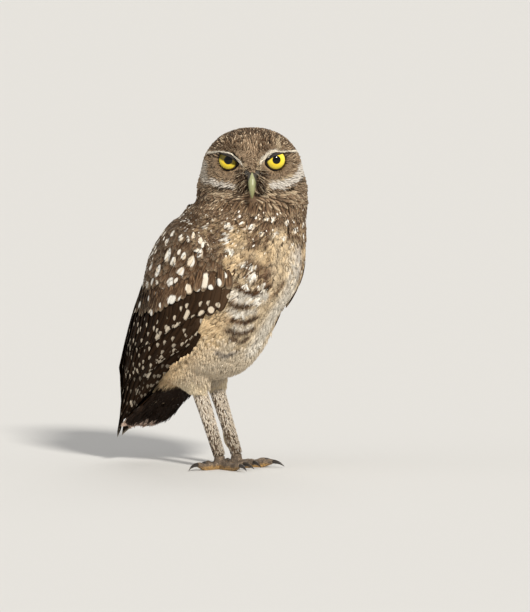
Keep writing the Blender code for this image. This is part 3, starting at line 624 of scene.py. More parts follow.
# The tail's tip and run, and how thick it is in its middle.
tail_low, tail_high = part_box("tail")
TAIL_FALL = math.radians(38.9)
TAIL_RUN = np.array((0, math.cos(TAIL_FALL), -math.sin(TAIL_FALL)))
TAIL_UP = np.array((0, math.sin(TAIL_FALL), math.cos(TAIL_FALL)))
TAIL_TIP = np.array((0, tail_high[1] + 0.8 * MM, tail_low[2] + 1.8 * MM))
TAIL_DEEP_MM = 3.4
TAIL_FLATTENING = 0.7

TINY = 1e-9


def fitted(points):
    """Draws places on the solids in where the coat lies closest: head, thighs and the tail's underside."""
    shape = points.shape
    points = points.reshape(-1, 3).copy()
    for side, heel in HEELS.items():
        off = points[:, :2] - heel[:2]
        reach = np.linalg.norm(off, axis=1)
        there = ramp(points[:, 2] / MM, 71, 61) * ramp(reach / MM, 17, 12)
        beyond = np.maximum(1 - THIGH_CORE_MM * MM / np.maximum(reach, TINY), 0)
        points[:, :2] -= off * (there * beyond * THIGH_SLIMMING[side])[:, None]
    off = points - TAIL_TIP
    past, level = off @ TAIL_RUN / MM, off @ TAIL_UP / MM
    low = np.minimum(level + TAIL_DEEP_MM, 0) * band(past, -58, 12, 5) * ramp(level, -16, -12)
    points -= (TAIL_FLATTENING * low * MM)[:, None] * TAIL_UP
    places = in_head(points)
    x, _, z = places.T
    inward = np.sign(x) * HEAD_SIDE_MM * ramp(np.abs(x), 15 - 5 * ramp(z, 206, 218), 30) * ramp(z, 187, 199)
    places[:, 0] -= inward
    places[:, 2] -= CROWN_MM * ramp(z, 208, 221)
    return (HEAD_AXIS + (places * MM) @ HEAD_AXES).reshape(shape)


BEHIND_WINGS_MM = 2.6
BESIDE_BELLY_MM = 2.0
HIPS_MM = 75
NECKLINE_MM = 176.5


def drawn_closer(t, angle):
    """How much deeper than elsewhere the trunk's coat is, in mm, behind the wings and beside the belly."""
    degrees = np.degrees(angle)
    behind_wings = BEHIND_WINGS_MM * band(t, 3.6, 4.7, 0.7) * ramp(np.abs(degrees), 95, 125)
    beside_belly = BESIDE_BELLY_MM * band(t, 2.7, 3.7, 0.5) * band(degrees, 20, 70, 15)
    return behind_wings + beside_belly


skin_points = fitted(array_of(skin.data, "vertices.co", 3).astype(float))
skin_t, skin_angle = chart_of(skin_points)
outward = skin_points - section(skin_t)[0]
reach = np.linalg.norm(outward, axis=1)
outward /= np.maximum(reach, TINY)[:, None]
above_hips = skin_points[:, 2] > HIPS_MM * MM
skin_points -= outward * (drawn_closer(skin_t, skin_angle) * MM * above_hips)[:, None]
skin.data.vertices.foreach_set("co", skin_points.astype(np.float32).ravel())
skin_t, skin_angle = chart_of(skin_points)
skin_colours = trunk_plumage(skin_t, skin_angle)
on_head = skin_points[:, 2] > NECKLINE_MM * MM
skin_colours[on_head] = head_plumage(skin_points[on_head])
opaque = np.hstack((skin_colours, np.ones((len(skin_points), 1))))
ground = skin.data.color_attributes.new("ground", "FLOAT_COLOR", "POINT")
ground.data.foreach_set("color", opaque.astype(np.float32).ravel())
corners = array_of(skin.data, "loops.vertex_index", 1, np.int32)
corner_angle = skin_angle[corners]
sides = array_of(skin.data, "polygons.loop_total", 1, np.int32)
first_angle = np.repeat(corner_angle[np.cumsum(sides) - sides], sides)
corner_angle = first_angle + (corner_angle - first_angle + math.pi) % math.tau - math.pi
set_map(skin.data, unwrap_trunk(skin_t[corners], corner_angle))

skin_finish, shader, wire = material("downy_skin", roughness=0.9, specular=0.2)
fluff = wire.node("ShaderNodeTexNoise", (), {"Scale": 900.0, "Detail": 3.0})
link(wire.attribute("ground", "Color").dimmed(fluff * 0.8), shader, "Base Color")
bump(wire, shader, fluff, strength=0.5, distance=0.6 * MM)
skin.data.materials.clear()
skin.data.materials.append(skin_finish)
skin.data.shade_smooth()
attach(skin, "root")
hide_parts(*FLESH, *SHANKS)

# Breast, belly and back
# Contour feathers in staggered rows that overlap like tiles, soft and a little frayed at their tips.
# They lie on a smooth hull, the solids' outer surface as it is seen from the trunk's middle line.

draw = np.random.default_rng(7)
HULL_NODES = ("head", "neck", "torso", "wing_right", "wing_left")
HULL_ROW = 0.1
HULL_STATIONS = np.arange(-1.0, 10.31, HULL_ROW)
HULL_STEP = math.radians(3)
HULL_ANGLES = np.arange(-60, 61) * HULL_STEP
OUTSIDE = 0.13
FEWEST_HITS = 4
TAPER = 0.85


def tree_of(nodes, meshes=()):
    """A search tree over the faces of CAD nodes and other meshes, and which of them each face belongs to."""
    points, faces, owners = [], [], []
    for owner, mesh in enumerate([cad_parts[node].data for node in nodes] + list(meshes)):
        start = len(points)
        points += [tuple(v.co) for v in mesh.vertices]
        faces += [tuple(start + i for i in face.vertices) for face in mesh.polygons]
        owners += [owner] * len(mesh.polygons)
    return BVHTree.FromPolygons(points, faces), owners


def cast_hull():
    """The hull's radius at each station and angle, and whether a wing lies there."""
    tree, owners = tree_of(HULL_NODES)
    centre, ahead, _ = section(HULL_STATIONS)
    radius = np.full((len(HULL_STATIONS), len(HULL_ANGLES)), np.nan)
    winged = np.zeros_like(radius)
    for i, (middle, front) in enumerate(zip(centre, ahead)):
        for j, angle in enumerate(HULL_ANGLES):
            way = Vector(front * math.cos(angle) + np.array((math.sin(angle), 0, 0)))
            spot, _, face, reach = tree.ray_cast(Vector(middle) + way * OUTSIDE, -way, OUTSIDE)
            if spot is not None:
                radius[i, j] = OUTSIDE - reach
                winged[i, j] = HULL_NODES[owners[face]].startswith("wing")
    return radius, winged


def filled_in(grid):
    """Gives the empty places of each row the nearest full value there; past the wing tips it tapers off."""
    for i, row in enumerate(grid):
        full = np.flatnonzero(~np.isnan(row))
        if len(full) > FEWEST_HITS:
            row[:] = row[full[np.argmin(np.abs(np.arange(len(row))[:, None] - full), axis=1)]]
        else:
            row[:] = grid[i - 1] * TAPER
    return grid


def smoothed(grid, passes):
    for _ in range(passes):
        grid = 0.25 * (np.roll(grid, 1, 1) + np.roll(grid, -1, 1)) + 0.5 * grid
        inner = 0.25 * (grid[:-2] + grid[2:]) + 0.5 * grid[1:-1]
        grid = np.vstack((grid[:1], inner, grid[-1:]))
    return grid


hull_radius, hull_winged = cast_hull()
hull_radius = smoothed(filled_in(hull_radius), 2)
hull_radius -= drawn_closer(HULL_STATIONS[:, None], HULL_ANGLES[None]) * MM
EDGE_SMOOTHING = np.ones(5) / 5
BACK_MARGIN = 1.5
BACKMOST = 177.0


def wing_edges():
    """The angles of the wings' front and back edges at each hull station, from 1 to the wing tips."""
    off = np.degrees(np.abs(HULL_ANGLES))
    fronts, backs = [], []
    for row in hull_winged:
        winged = off[row > 0]
        fronts.append(winged.min() if len(winged) else np.nan)
        backs.append(min(winged.max() + BACK_MARGIN, BACKMOST) if len(winged) else np.nan)
    edges = []
    for edge in (np.array(fronts), np.array(backs)):
        full = ~np.isnan(edge)
        edge = np.interp(HULL_STATIONS, HULL_STATIONS[full], edge[full])
        padded = np.pad(edge, 2, mode="edge")
        edges.append(np.convolve(padded, EDGE_SMOOTHING, "valid"))
    return edges


FRONT_EDGE, BACK_EDGE = wing_edges()


def wing_angle(t, share, side):
    """The angle at a share of the way across a wing, from its front edge (0) to its back edge (1)."""
    front = np.interp(t, HULL_STATIONS, FRONT_EDGE)
    back = np.interp(t, HULL_STATIONS, BACK_EDGE)
    return side * np.radians(front + (back - front) * share)


def wing_share(t, angle):
    front = np.interp(t, HULL_STATIONS, FRONT_EDGE)
    back = np.interp(t, HULL_STATIONS, BACK_EDGE)
    return (np.degrees(np.abs(angle)) - front) / (back - front)


def on_hull(t, angle):
    """Places on the hull, for arrays of stations and angles of any one shape."""
    shape = np.shape(t)
    t, angle = np.ravel(t), np.ravel((angle + math.pi) % math.tau - math.pi)
    row = np.clip((t - HULL_STATIONS[0]) / HULL_ROW, 0, len(HULL_STATIONS) - 1.001)
    column = np.clip((angle + math.pi) / HULL_STEP, 0, len(HULL_ANGLES) - 1.001)
    i, j = row.astype(int), column.astype(int)
    u, v = row - i, column - j
    near = hull_radius[i, j] * (1 - v) + hull_radius[i, j + 1] * v
    far = hull_radius[i + 1, j] * (1 - v) + hull_radius[i + 1, j + 1] * v
    reach = (near * (1 - u) + far * u)[:, None]
    centre, ahead, _ = section(t)
    aside = np.zeros_like(ahead)
    aside[:, 0] = np.sin(angle)
    return (centre + reach * (ahead * np.cos(angle)[:, None] + aside)).reshape(*shape, 3)


def unit(vectors):
    return vectors / np.maximum(np.linalg.norm(vectors, axis=-1, keepdims=True), 1e-12)


NORMAL_STATIONS = 0.12
NORMAL_ANGLE = 0.07


def hull_normal(t, angle):
    down = on_hull(t + NORMAL_STATIONS, angle) - on_hull(t - NORMAL_STATIONS, angle)
    around = on_hull(t, angle + NORMAL_ANGLE) - on_hull(t, angle - NORMAL_ANGLE)
    return unit(np.cross(down, around))


def feather_shape(outline, columns=2):
    """A closed blade lying along x: how far along it, across it, and its thickness, all as shares.

    The outline gives how far along and the half width there, from the root to the tip.
    """
    bm = bmesh.new()
    rows = len(outline) - 1
    for under in (1, -0.5):
        grid = bmesh.ops.create_grid(bm, x_segments=rows, y_segments=columns, size=1)
        for vertex in grid["verts"]:
            row = round((vertex.co.x + 1) / 2 * rows)
            ends = 0 if row in (0, rows) else 1
            along_it, half = outline[row]
            thick = under * ends * (1 - abs(vertex.co.y))
            vertex.co = (along_it, vertex.co.y * half, thick)
        if under < 0:
            faces = {face for vertex in grid["verts"] for face in vertex.link_faces}
            bmesh.ops.reverse_faces(bm, faces=list(faces))
    bmesh.ops.remove_doubles(bm, verts=bm.verts, dist=1e-5)
    return read_shape(bm)


def read_shape(bm):
    """A template as arrays: its points, and its faces in triangles."""
    bmesh.ops.triangulate(bm, faces=bm.faces)
    bm.verts.index_update()
    points = np.array([vertex.co for vertex in bm.verts])
    triangles = np.array([[vertex.index for vertex in face.verts] for face in bm.faces])
    bm.free()
    return points, triangles


def hair_shape(outline):
    """A closed three-sided hair along x. The outline gives how far along it and the half width there."""
    bm = bmesh.new()
    corners = ((-1, 0), (1, 0), (0, 1))
    rings = []
    for far, half in outline:
        rings.append([bm.verts.new((far, side * half, high * half)) for side, high in corners])
    for first, second in zip(rings, rings[1:]):
        for i in range(3):
            j = (i + 1) % 3
            bm.faces.new((first[i], first[j], second[j], second[i]))
    bm.faces.new(rings[0][::-1])
    tip = bm.verts.new((1, 0, 0))
    for i in range(3):
        bm.faces.new((rings[-1][i], rings[-1][(i + 1) % 3], tip))
    bmesh.ops.recalc_face_normals(bm, faces=bm.faces)
    return read_shape(bm)


def tuft_shape(barbs, spread, half):
    """A loose tuft of fine hairs that fan out from one root."""
    single, triangles = hair_shape(((0, 0.5), (0.4, 1.0), (0.78, 0.7)))
    single = single * (1, half, 1.8)
    points, faces = [], []
    for i in range(barbs):
        lean = 2 * i / (barbs - 1) - 1
        length = 1 - 0.22 * lean * lean - 0.14 * (i % 2)
        barb = single * (length, 1, 1)
        barb[:, 1] += lean * spread * (0.2 + 0.8 * single[:, 0] ** 1.3)
        barb[:, 2] += 1.4 * (i % 3) * single[:, 0]
        faces.append(triangles + len(single) * i)
        points.append(barb)
    return np.vstack(points), np.vstack(faces)


PATCH = 0.003
MOST_TRIANGLES = 190000
PAINT_WAVER = 0.35 * MM
FEATHER_THICKNESS = 0.12 * MM


def put(mesh, name, values):
    attribute = mesh.attributes.new(name, "FLOAT_VECTOR", "POINT")
    attribute.data.foreach_set("vector", np.ascontiguousarray(values, dtype=np.float32).ravel())


def grow(name, shape, path, normal, half_width, looks, places, finish, sink, rise, arch=0.15, tilt=0.0):
    """Makes one tract of feathers as a joined mesh, or as several where it would grow too large.

    path and normal hold, for each feather, points from root to tip and the way out there. half_width,
    how deep the root sinks and how high the tip rises are in millimetres. arch rounds a blade across
    and tilt turns it. looks holds one array for each attribute of the finish, or for ground a function
    that paints places, and places the roots' spots on the unwrapped skin.
    """
    points, triangles = shape
    count = len(path)
    parts = math.ceil(count / (MOST_TRIANGLES // len(triangles)))
    if parts > 1:
        for part in range(parts):
            some = slice(part, None, parts)
            half, *lie = (x[some] if np.ndim(x) else x for x in (half_width, sink, rise, arch, tilt))
            kept = {key: value if callable(value) else value[some] for key, value in looks.items()}
            part_name = f"{name}_{part + 1}"
            grow(part_name, shape, path[some], normal[some], half, kept, places[some], finish, *lie)
        return
    stations = np.linspace(0, 1, path.shape[1])
    weights = np.stack([np.interp(points[:, 0], stations, row) for row in np.eye(len(stations))], axis=1)
    run = unit(np.gradient(path, axis=1))
    across = unit(np.cross(normal, run))
    up = np.cross(run, across)
    across = across + up * np.broadcast_to(tilt, count)[:, None, None]
    centre, across, up = (np.einsum("vk,nkc->nvc", weights, rows) for rows in (path, across, up))
    half, low, high, bend = (np.broadcast_to(x, count)[:, None] * MM for x in (half_width, sink, rise, arch))
    far, aside, thick = points.T
    lift = -low + (low + high) * far**0.8 + thick * FEATHER_THICKNESS - bend / MM * half * aside**2
    places_3d = centre + across * (half * aside)[:, :, None] + up * lift[:, :, None]
    mesh = bpy.data.meshes.new(name)
    size = len(points)
    corners = (triangles[None] + size * np.arange(count)[:, None, None]).reshape(-1, 3)
    mesh.from_pydata(places_3d.reshape(-1, 3), [], corners)
    blade = np.stack(np.broadcast_arrays(far, aside, draw.random(count)[:, None]), axis=-1)
    put(mesh, "blade", blade.reshape(-1, 3))
    for key, value in looks.items():
        if callable(value):
            waver = draw.normal(0, PAINT_WAVER, (count, 1, 3))
            put(mesh, key, value((places_3d + waver).reshape(-1, 3)))
        else:
            put(mesh, key, np.repeat(value, size, axis=0))
    spots = places[:, None] + PATCH * np.stack((aside * 0.5, far - 0.5), axis=1)
    set_map(mesh, spots.reshape(-1, 2)[corners.ravel()])
    mesh.materials.append(finish)
    mesh.shade_smooth()
    made = bpy.data.objects.new(name, mesh)
    bpy.context.scene.collection.objects.link(made)
    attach(made, "root")


BARB_SLANT = 1.3
RIPPLE = 0.10
SPOT_WHITE = (0.86, 0.83, 0.76)
SPOT_CREAM = (0.74, 0.60, 0.42)
GOLDEN_BROWN = (0.34, 0.215, 0.12)


def read_blade(wire, barb_rate, streaks_along, streaks_across):
    """A blade's own places and sizes as wires, then its fine barbs and the coarser streaks along them."""
    along_it, across_it, chance = wire.attribute("blade").parts()
    half, length, third = wire.attribute("size").parts()
    slanted = along_it * length - abs(across_it) * half * BARB_SLANT
    ripple = (slanted * barb_rate).sine()
    inputs = {0: along_it * length * streaks_along, 1: across_it * half * streaks_across, 2: chance * 60.0}
    place = wire.node("ShaderNodeCombineXYZ", (), inputs)
    streak = wire.node("ShaderNodeTexNoise", (), {"Vector": place, "Scale": 1.0})
    return along_it, across_it, chance, half, length, third, ripple, streak


def feather_finish(
    name, fringe, uneven, root_shade=0.0, gleam=0.0, shaft=0.3, streaks=1.8, spot_tones=(SPOT_WHITE, SPOT_CREAM)
):
    """Plumage with fine barbs. Attributes give its ground colour and a pale spot or tear on it.

    spot is the spot's place along and across the blade and its radius in millimetres. size is the half
    width and length in millimetres and how long the spot is for its width. The numbers say how strong
    the pale fringe, the uneven tones, the painted shade at the root where the feather above overlaps it,
    the golden streaks and the dark shaft are.
    """
    made, shader, wire = material(name, roughness=0.85, specular=0.08, sheen=0.02)
    along_it, across_it, chance, half, length, stretch, ripple, streak = read_blade(wire, 14.0, 0.25, 1.6)
    spot_along, spot_across, spot_radius = wire.attribute("spot").parts()
    off_shaft = abs(across_it)
    # Painted shade: each blade darkens towards its root, where the feather above overlaps it.
    shaded = (1 - along_it.ramp(0.2, 0.85)) * root_shade
    tone = ripple * RIPPLE + chance * uneven + (streak - 0.5) * streaks + shaded
    ground = wire.attribute("ground").dimmed(tone)
    ground = ((1 - streak).ramp(0.5, 0.66) * gleam).blend(ground, GOLDEN_BROWN)
    edge = off_shaft.or_more(along_it * 0.98).ramp(0.72, 1.0)
    ground = (edge * fringe).blend(ground, CREAM)
    ground = ground.dimmed((1 - (off_shaft * half).ramp(0.04, 0.22)) * shaft)
    d_along = (along_it - spot_along) * length / stretch
    d_across = (across_it - spot_across) * half * (1.0 - (d_along / spot_radius) * 0.25)
    reach = (d_along * d_along + d_across * d_across).root() * (0.72 + streak * 0.6)
    spot = 1 - ((reach + ripple * RIPPLE) / spot_radius).ramp(0.75, 1.1)
    white = (chance.ramp(0.3, 1.0) * 0.8).blend(*spot_tones)
    link(spot.blend(ground, white), shader, "Base Color")
    bump(wire, shader, ripple, strength=0.3, distance=0.1 * MM)
    return made


# Each finish paints shade at the blades' roots, where the feathers above overlap them. It is deepest on the
# mantle.
contour_finish = feather_finish("contour_feathers", fringe=0.16, uneven=0.6, root_shade=0.35, gleam=0.15)
mantle_finish = feather_finish("mantle_feathers", fringe=0.2, uneven=0.8, root_shade=0.9, gleam=0.42)
fringed_finish = feather_finish("fringed_feathers", fringe=0.3, uneven=0.7, root_shade=0.5, gleam=0.5)

CONTOUR_OUTLINE = ((0, 0.3), (0.25, 0.8), (0.55, 1.0), (0.78, 0.9), (0.92, 0.6), (1, 0.0))
contour_shape = feather_shape(CONTOUR_OUTLINE)
STATIONS_ON_FEATHER = np.linspace(0, 1, 6)
RING_POINTS = 90


def staggered(t_from, t_to, degrees_from, degrees_to, row_gap_mm, gap_mm, jitter):
    """Roots in staggered rows over part of the hull: stations and angles."""
    roots_t, roots_angle = [], []
    rows = np.arange(t_from, t_to, row_gap_mm / STATION_MM)
    for i, t in enumerate(rows):
        angles = np.linspace(math.radians(degrees_from), math.radians(degrees_to), RING_POINTS)
        ring = on_hull(np.full(RING_POINTS, t), angles)
        run = np.concatenate(((0.0,), np.cumsum(np.linalg.norm(np.diff(ring, axis=0), axis=1))))
        count = int(run[-1] / (gap_mm * MM))
        places = (np.arange(count) + (0.25 if i % 2 else 0.75)) * gap_mm * MM
        places = places + draw.normal(0, jitter * gap_mm * MM * 0.5, count)
        roots_angle.append(np.interp(places, run, angles))
        roots_t.append(t + draw.normal(0, jitter * row_gap_mm / STATION_MM * 0.5, count))
    return np.concatenate(roots_t), np.concatenate(roots_angle)


def laid(t, angle, length_mm, drift):
    """Paths and normals of feathers that lie down the trunk from their roots, turning aside by drift."""
    down = t[:, None] + STATIONS_ON_FEATHER * (length_mm / STATION_MM)[:, None]
    aside = angle[:, None] + STATIONS_ON_FEATHER * drift[:, None]
    return on_hull(down, aside), hull_normal(down, aside), down[:, -1], aside[:, -1]


def sizes(half, length, third):
    return np.stack(np.broadcast_arrays(half, length, third), axis=1)


# What the spot attribute holds on a feather without one: a place on the blade and next to no radius.
NO_SPOT = (0.8, 0.0, 0.01)


def plain_looks(ground, half, length, third=1.0):
    """The looks of feathers that carry no spot."""
    return {"ground": ground, "spot": np.tile(NO_SPOT, (len(length), 1)), "size": sizes(half, length, third)}


# The larger white spots of the breast: station, angle in degrees and radius in mm.
BREAST_SPOTS = (
    (0.33, -81, 1.2), (0.47, -65, 2.0), (0.95, -60.6, 2.3), (1.31, -54, 2.0), (0.63, -58.6, 1.5),
    (0.81, -84, 1.4), (0.87, -107, 1.0), (0.28, -112, 1.0), (1.5, -38.5, 1.5), (1.53, -32.5, 1.5),
    (1.73, -29, 2.7), (2.03, -31, 2.6), (1.98, -19.7, 2.4), (0.42, -41.8, 2.0), (0.63, -30.9, 1.4),
    (0.09, -27.1, 1.4), (0.08, -20, 1.7), (0.24, -4.4, 1.8), (0.54, 7.2, 1.6), (0.81, 25, 1.6),
    (0.39, 23.5, 1.2), (0.61, -17.5, 1.1), (0.74, -8.1, 1.2), (0.08, -38.6, 0.9), (0.08, -56, 1.0),
    (2.42, -41, 2.8), (2.43, -24, 2.6), (2.42, -17, 2.3), (2.93, -28, 2.0), (0.9, 4, 1.4),
    (0.27, -51.4, 1.2), (0.33, 81, 1.2), (0.47, 65, 2.0), (0.95, 60, 2.3), (1.31, 54, 2.0),
    (0.63, 58, 1.5), (0.42, 42, 2.0), (0.63, 40, 1.4), (1.1, 38, 1.5), (1.5, 36, 1.6),
    (1.75, 30, 2.2), (0.2, 95, 1.0),
)


def marked(path, half, length, places, radius):
    """Spots at given places: a feather carries the place nearest to it, wherever that lies on its blade."""
    root = path[:, 0]
    run = unit(path[:, -1] - root)
    middle = path.shape[1] // 2
    aside = unit(np.cross(hull_out(path[:, middle]), run))
    off = places[None] - root[:, None]
    along_mm = np.einsum("nmk,nk->nm", off, run) / MM
    across_mm = np.einsum("nmk,nk->nm", off, aside) / MM
    half, length = (np.broadcast_to(x, len(path))[:, None] for x in (half, length))
    beyond = np.maximum(np.abs(across_mm) - half, 0) + np.maximum(along_mm - length, 0)
    beyond = beyond + np.maximum(0.3 * length - along_mm, 0)
    best = np.argmin(beyond + 0.01 * np.hypot(across_mm, along_mm - 0.8 * length), axis=1)
    rows = np.arange(len(path))
    reached = beyond[rows, best] < radius[best]
    along_it, across_it = along_mm[rows, best] / length[:, 0], across_mm[rows, best] / half[:, 0]
    spot = np.stack((along_it, across_it, radius[best]), axis=1)
    return np.where(reached[:, None], spot, NO_SPOT)


def hull_out(points):
    t, angle = chart_of(points)
    return hull_normal(t, angle)


def spots_on_breast():
    t, degrees, radius = np.array(BREAST_SPOTS).T
    return on_hull(t, np.radians(degrees)), radius


def painted_breast(points):
    t, angle = chart_of(points)
    return trunk_plumage(t, angle)


# Above the shoulder the breast's feathers go all the way round, up to a share that no place reaches.
SHOULDER_STATION = 1.0
ALL_ROUND = 9
t, angle = staggered(-0.35, 5.0, -112, 112, row_gap_mm=2.0, gap_mm=2.2, jitter=0.7)
last_share = np.where(t < SHOULDER_STATION, ALL_ROUND, np.where(t > 2.7, -0.03, 0.08))
covered = wing_share(t, angle) > last_share
t, angle = t[~covered], angle[~covered]
count = len(t)
length = 8.5 + 4.0 * ramp(t, 0.3, 2.5) + draw.normal(0, 0.6, count)
half = 1.1 + 1.1 * ramp(t, 0.2, 2.2) + draw.normal(0, 0.15, count)
drift = 0.10 * np.sin(angle) + draw.normal(0, 0.08, count)
path, normal, tip_t, _ = laid(t, angle, length, drift)
spot = marked(path, half, length, *spots_on_breast())
fleck = (spot[:, 2] < 0.1) & (tip_t < 1.3) & (draw.random(count) < 0.13)
spot[fleck, 2] = draw.uniform(0.35, 0.7, fleck.sum())
looks = {"ground": painted_breast, "spot": spot, "size": sizes(half, length, 1.3)}
places = unwrap_trunk(t, angle)
grow("breast_feathers", contour_shape, path, normal, half, looks, places, contour_finish, sink=0.9, rise=0.4)

# Fine down stands between and over the contour feathers, thin on the chest and thick on the belly.
t, angle = staggered(0.3, 5.45, -108, 108, row_gap_mm=1.75, gap_mm=1.9, jitter=0.9)
thick = ramp(t, 1.8, 2.6)
pale_patch = trunk_plumage(t, angle).mean(axis=1) > 0.4
wing = wing_share(t, angle)
last_share = np.where(t < SHOULDER_STATION, ALL_ROUND, np.where(t > 2.5, 0.16, 0.02))
kept = (wing < last_share) & (draw.random(len(t)) < 0.25 + 0.75 * np.maximum(thick, pale_patch))
t, angle, wing = t[kept], angle[kept], wing[kept]
count = len(t)
# The down goes on a little way under the wing's front edge and lies lower there.
tucked = ramp(wing, -0.06, 0.0) * (t > 2.5)
length = 6.0 + 2.5 * ramp(t, 1.0, 3.5) + 3.0 * ramp(t, 4.2, 5.2) + draw.normal(0, 0.8, count)
drift = 0.12 * np.sin(angle) + draw.normal(0, 0.09, count)
path, normal, _, _ = laid(t, angle, length, drift)
half = draw.uniform(0.9, 1.4, count)
looks = {
    "ground": painted_breast,
    "spot": marked(path, half + 1.0, length, *spots_on_breast()),
    "size": sizes(half, length, 1.3),
}
down_tuft = tuft_shape(barbs=5, spread=1.0, half=0.2)
down_finish = feather_finish("down", fringe=0.0, shaft=0.0, uneven=0.12, streaks=1.0)
rise = 0.5 + draw.uniform(0, 0.7, count) * ramp(t, 0.5, 2.0)
rise = rise * (1 - tucked) - 0.9 * tucked
sink = 0.3 + 0.6 * tucked
places = unwrap_trunk(t, angle)
grow("breast_down", down_tuft, path, normal, half, looks, places, down_finish, sink, rise)

# Mantle
# The back's own feathers, brown with small pale tears, between the shoulders and over the inner edges of
# the folded wings. They lie in staggered rows on the hull, as the breast's do.

WING_BROWN = (0.14, 0.085, 0.05)
SHOULDER_BROWN = (0.108, 0.069, 0.043)
DARKEST_WING_BROWN = (0.026, 0.015, 0.008)


def wing_plumage(t, share):
    """The wing's ground colours: greyer at the shoulder, darker down the wing and to its back edge."""
    colours = np.tile(np.array(WING_BROWN), (len(t), 1))
    colours = toward(colours, SHOULDER_BROWN, ramp(t, 2.3, 1.6))
    colours = toward(colours, DARKEST_WING_BROWN, 0.95 * ramp(t, 3.2, 4.6))
    colours = toward(colours, DARKEST_WING_BROWN, 0.6 * ramp(share, 0.6, 0.85) * ramp(t, 1.6, 2.6))
    return colours * (1 - 0.5 * ramp(t, 4.5, 7.5))[:, None]


# The larger spots of the folded wing: station, share across the wing and radius in mm.
WING_SPOTS = (
    (1.31, -0.04, 2.2), (1.18, 0.27, 1.6), (1.25, 0.23, 2.0), (1.19, 0.35, 1.1), (1.4, 0.43, 1.1),
    (1.59, 0.31, 2.1), (1.48, 0.51, 1.5), (1.16, 0.51, 1.3), (1.58, 0.63, 1.3), (1.93, 0.62, 1.4),
    (2.25, 0.52, 2.2), (1.91, 0.45, 1.1), (1.92, 0.4, 1.4), (2.27, 0.45, 1.7), (1.94, 0.33, 1.9),
    (2.38, 0.36, 1.9), (2.82, 0.39, 2.0), (2.67, 0.36, 1.1), (2.86, 0.53, 2.2), (3.0, 0.63, 1.5),
    (3.58, 0.59, 1.5), (3.3, 0.54, 1.3), (3.24, 0.41, 1.6), (3.52, 0.45, 1.3), (3.81, 0.52, 1.3),
    (3.15, 0.49, 1.0), (4.04, 0.43, 1.6), (3.62, 0.38, 1.0), (2.25, 0.19, 3.1), (2.66, 0.26, 1.9),
    (3.25, 0.31, 2.8), (3.04, 0.27, 1.7), (2.33, 0.14, 1.4), (2.09, 0.11, 1.5), (1.91, 0.08, 1.2),
    (2.76, 0.2, 1.2), (2.56, 0.19, 1.3), (2.86, 0.09, 1.6), (2.95, 0.05, 1.2), (3.07, 0.12, 2.0),
    (3.28, 0.14, 1.8), (3.35, 0.19, 2.6), (3.49, 0.15, 1.6), (3.78, 0.22, 1.9), (4.07, 0.25, 2.1),
    (4.51, 0.29, 2.0), (5.01, 0.32, 1.8), (5.29, 0.33, 1.5), (5.56, 0.4, 1.8), (5.82, 0.45, 1.9),
    (5.08, 0.52, 1.7), (4.14, 0.36, 1.4), (3.92, 0.18, 1.4), (3.86, 0.15, 1.2), (2.66, 0.06, 1.2),
    (2.4, 0.04, 1.4), (4.8, 0.09, 2.6), (4.87, 0.17, 1.3), (5.1, 0.18, 1.1), (5.39, 0.18, 1.1),
    (5.7, 0.22, 1.3), (6.04, 0.29, 1.1), (6.33, 0.34, 1.0), (6.66, 0.4, 1.0), (6.94, 0.5, 0.9),
    (5.67, 0.03, 2.2), (6.6, 0.05, 2.6), (7.4, 0.11, 1.4), (4.4, 0.62, 1.6), (4.8, 0.68, 1.5),
    (5.4, 0.62, 1.6), (5.9, 0.58, 1.6), (2.5, 0.72, 1.5), (3.2, 0.75, 1.5), (3.9, 0.7, 1.6),
    (3.7, 0.82, 1.4), (2.9, 0.85, 1.4), (2.2, 0.84, 1.3), (1.9, 0.74, 1.3), (4.5, 0.82, 1.5),
    (5.1, 0.8, 1.5), (5.6, 0.75, 1.6), (6.1, 0.7, 1.6), (4.2, 0.92, 1.4), (6.2, 0.85, 1.6),
    (5.0, 0.92, 1.5), (5.7, 0.92, 1.5), (3.3, 0.94, 1.4), (2.5, 0.95, 1.3),
)

# The pale barred edge that the far wing shows beside the breast, and how much larger than its listed
# radius every spot of the wings is drawn.
EDGE_SPOTS = tuple((1.5 + 0.34 * i, 0.02 + 0.02 * (i % 2), 2.1) for i in range(9))
SPOT_GROWTH = 1.35


def spots_on_wing(side):
    t, share, radius = np.array(WING_SPOTS + (EDGE_SPOTS if side > 0 else ())).T
    return on_hull(t, wing_angle(t, share, side)), radius * SPOT_GROWTH


SPOT_ALONG = 0.82
SPOT_WANDER = 0.2


def spotted(count, share_spotted, low_mm, high_mm):
    """A spot for a share of the feathers, with random sizes and places across the blade."""
    radius = np.where(draw.random(count) < share_spotted, draw.uniform(low_mm, high_mm, count), NO_SPOT[2])
    across_it = draw.uniform(-SPOT_WANDER, SPOT_WANDER, count)
    return np.stack((np.full(count, SPOT_ALONG), across_it, radius), axis=1)


SIDE_NAME = {-1: "right", 1: "left"}
MIDDLE_OF_BACK = math.radians(125)
for side, name in SIDE_NAME.items():
    t, angle = staggered(-0.45, 7.9, side * 94, side * 180, row_gap_mm=3.2, gap_mm=3.1, jitter=0.4)
    share = wing_share(t, angle)
    kept = (t < 1.0) | (share > np.minimum(0.55 - 0.12 * t + 0.05 * t * t, 0.94))
    t, angle, share = t[kept], angle[kept], share[kept]
    count = len(t)
    length = 12.0 + 5.0 * ramp(t, 0.5, 2.5) + draw.normal(0, 1.2, count)
    half = 1.9 + 0.8 * ramp(t, 0.5, 2.5) + draw.normal(0, 0.25, count)
    drift = side * draw.normal(0.0, 0.07, count)
    path, normal, tip_t, _ = laid(t, angle, length, drift)
    spot = marked(path, half, length, *spots_on_wing(side))
    spot = np.where(np.abs(angle[:, None]) > MIDDLE_OF_BACK, spotted(count, 0.5, 0.8, 1.4), spot)
    looks = {"ground": wing_plumage(tip_t, np.ones(count)), "spot": spot, "size": sizes(half, length, 1.6)}
    lift = 0.3 + 0.9 * ramp(t, 0.8, 2.0)
    places = unwrap_trunk(t, angle)
    grow(f"mantle_{name}", contour_shape, path, normal, half, looks, places, mantle_finish, 0.6, lift)

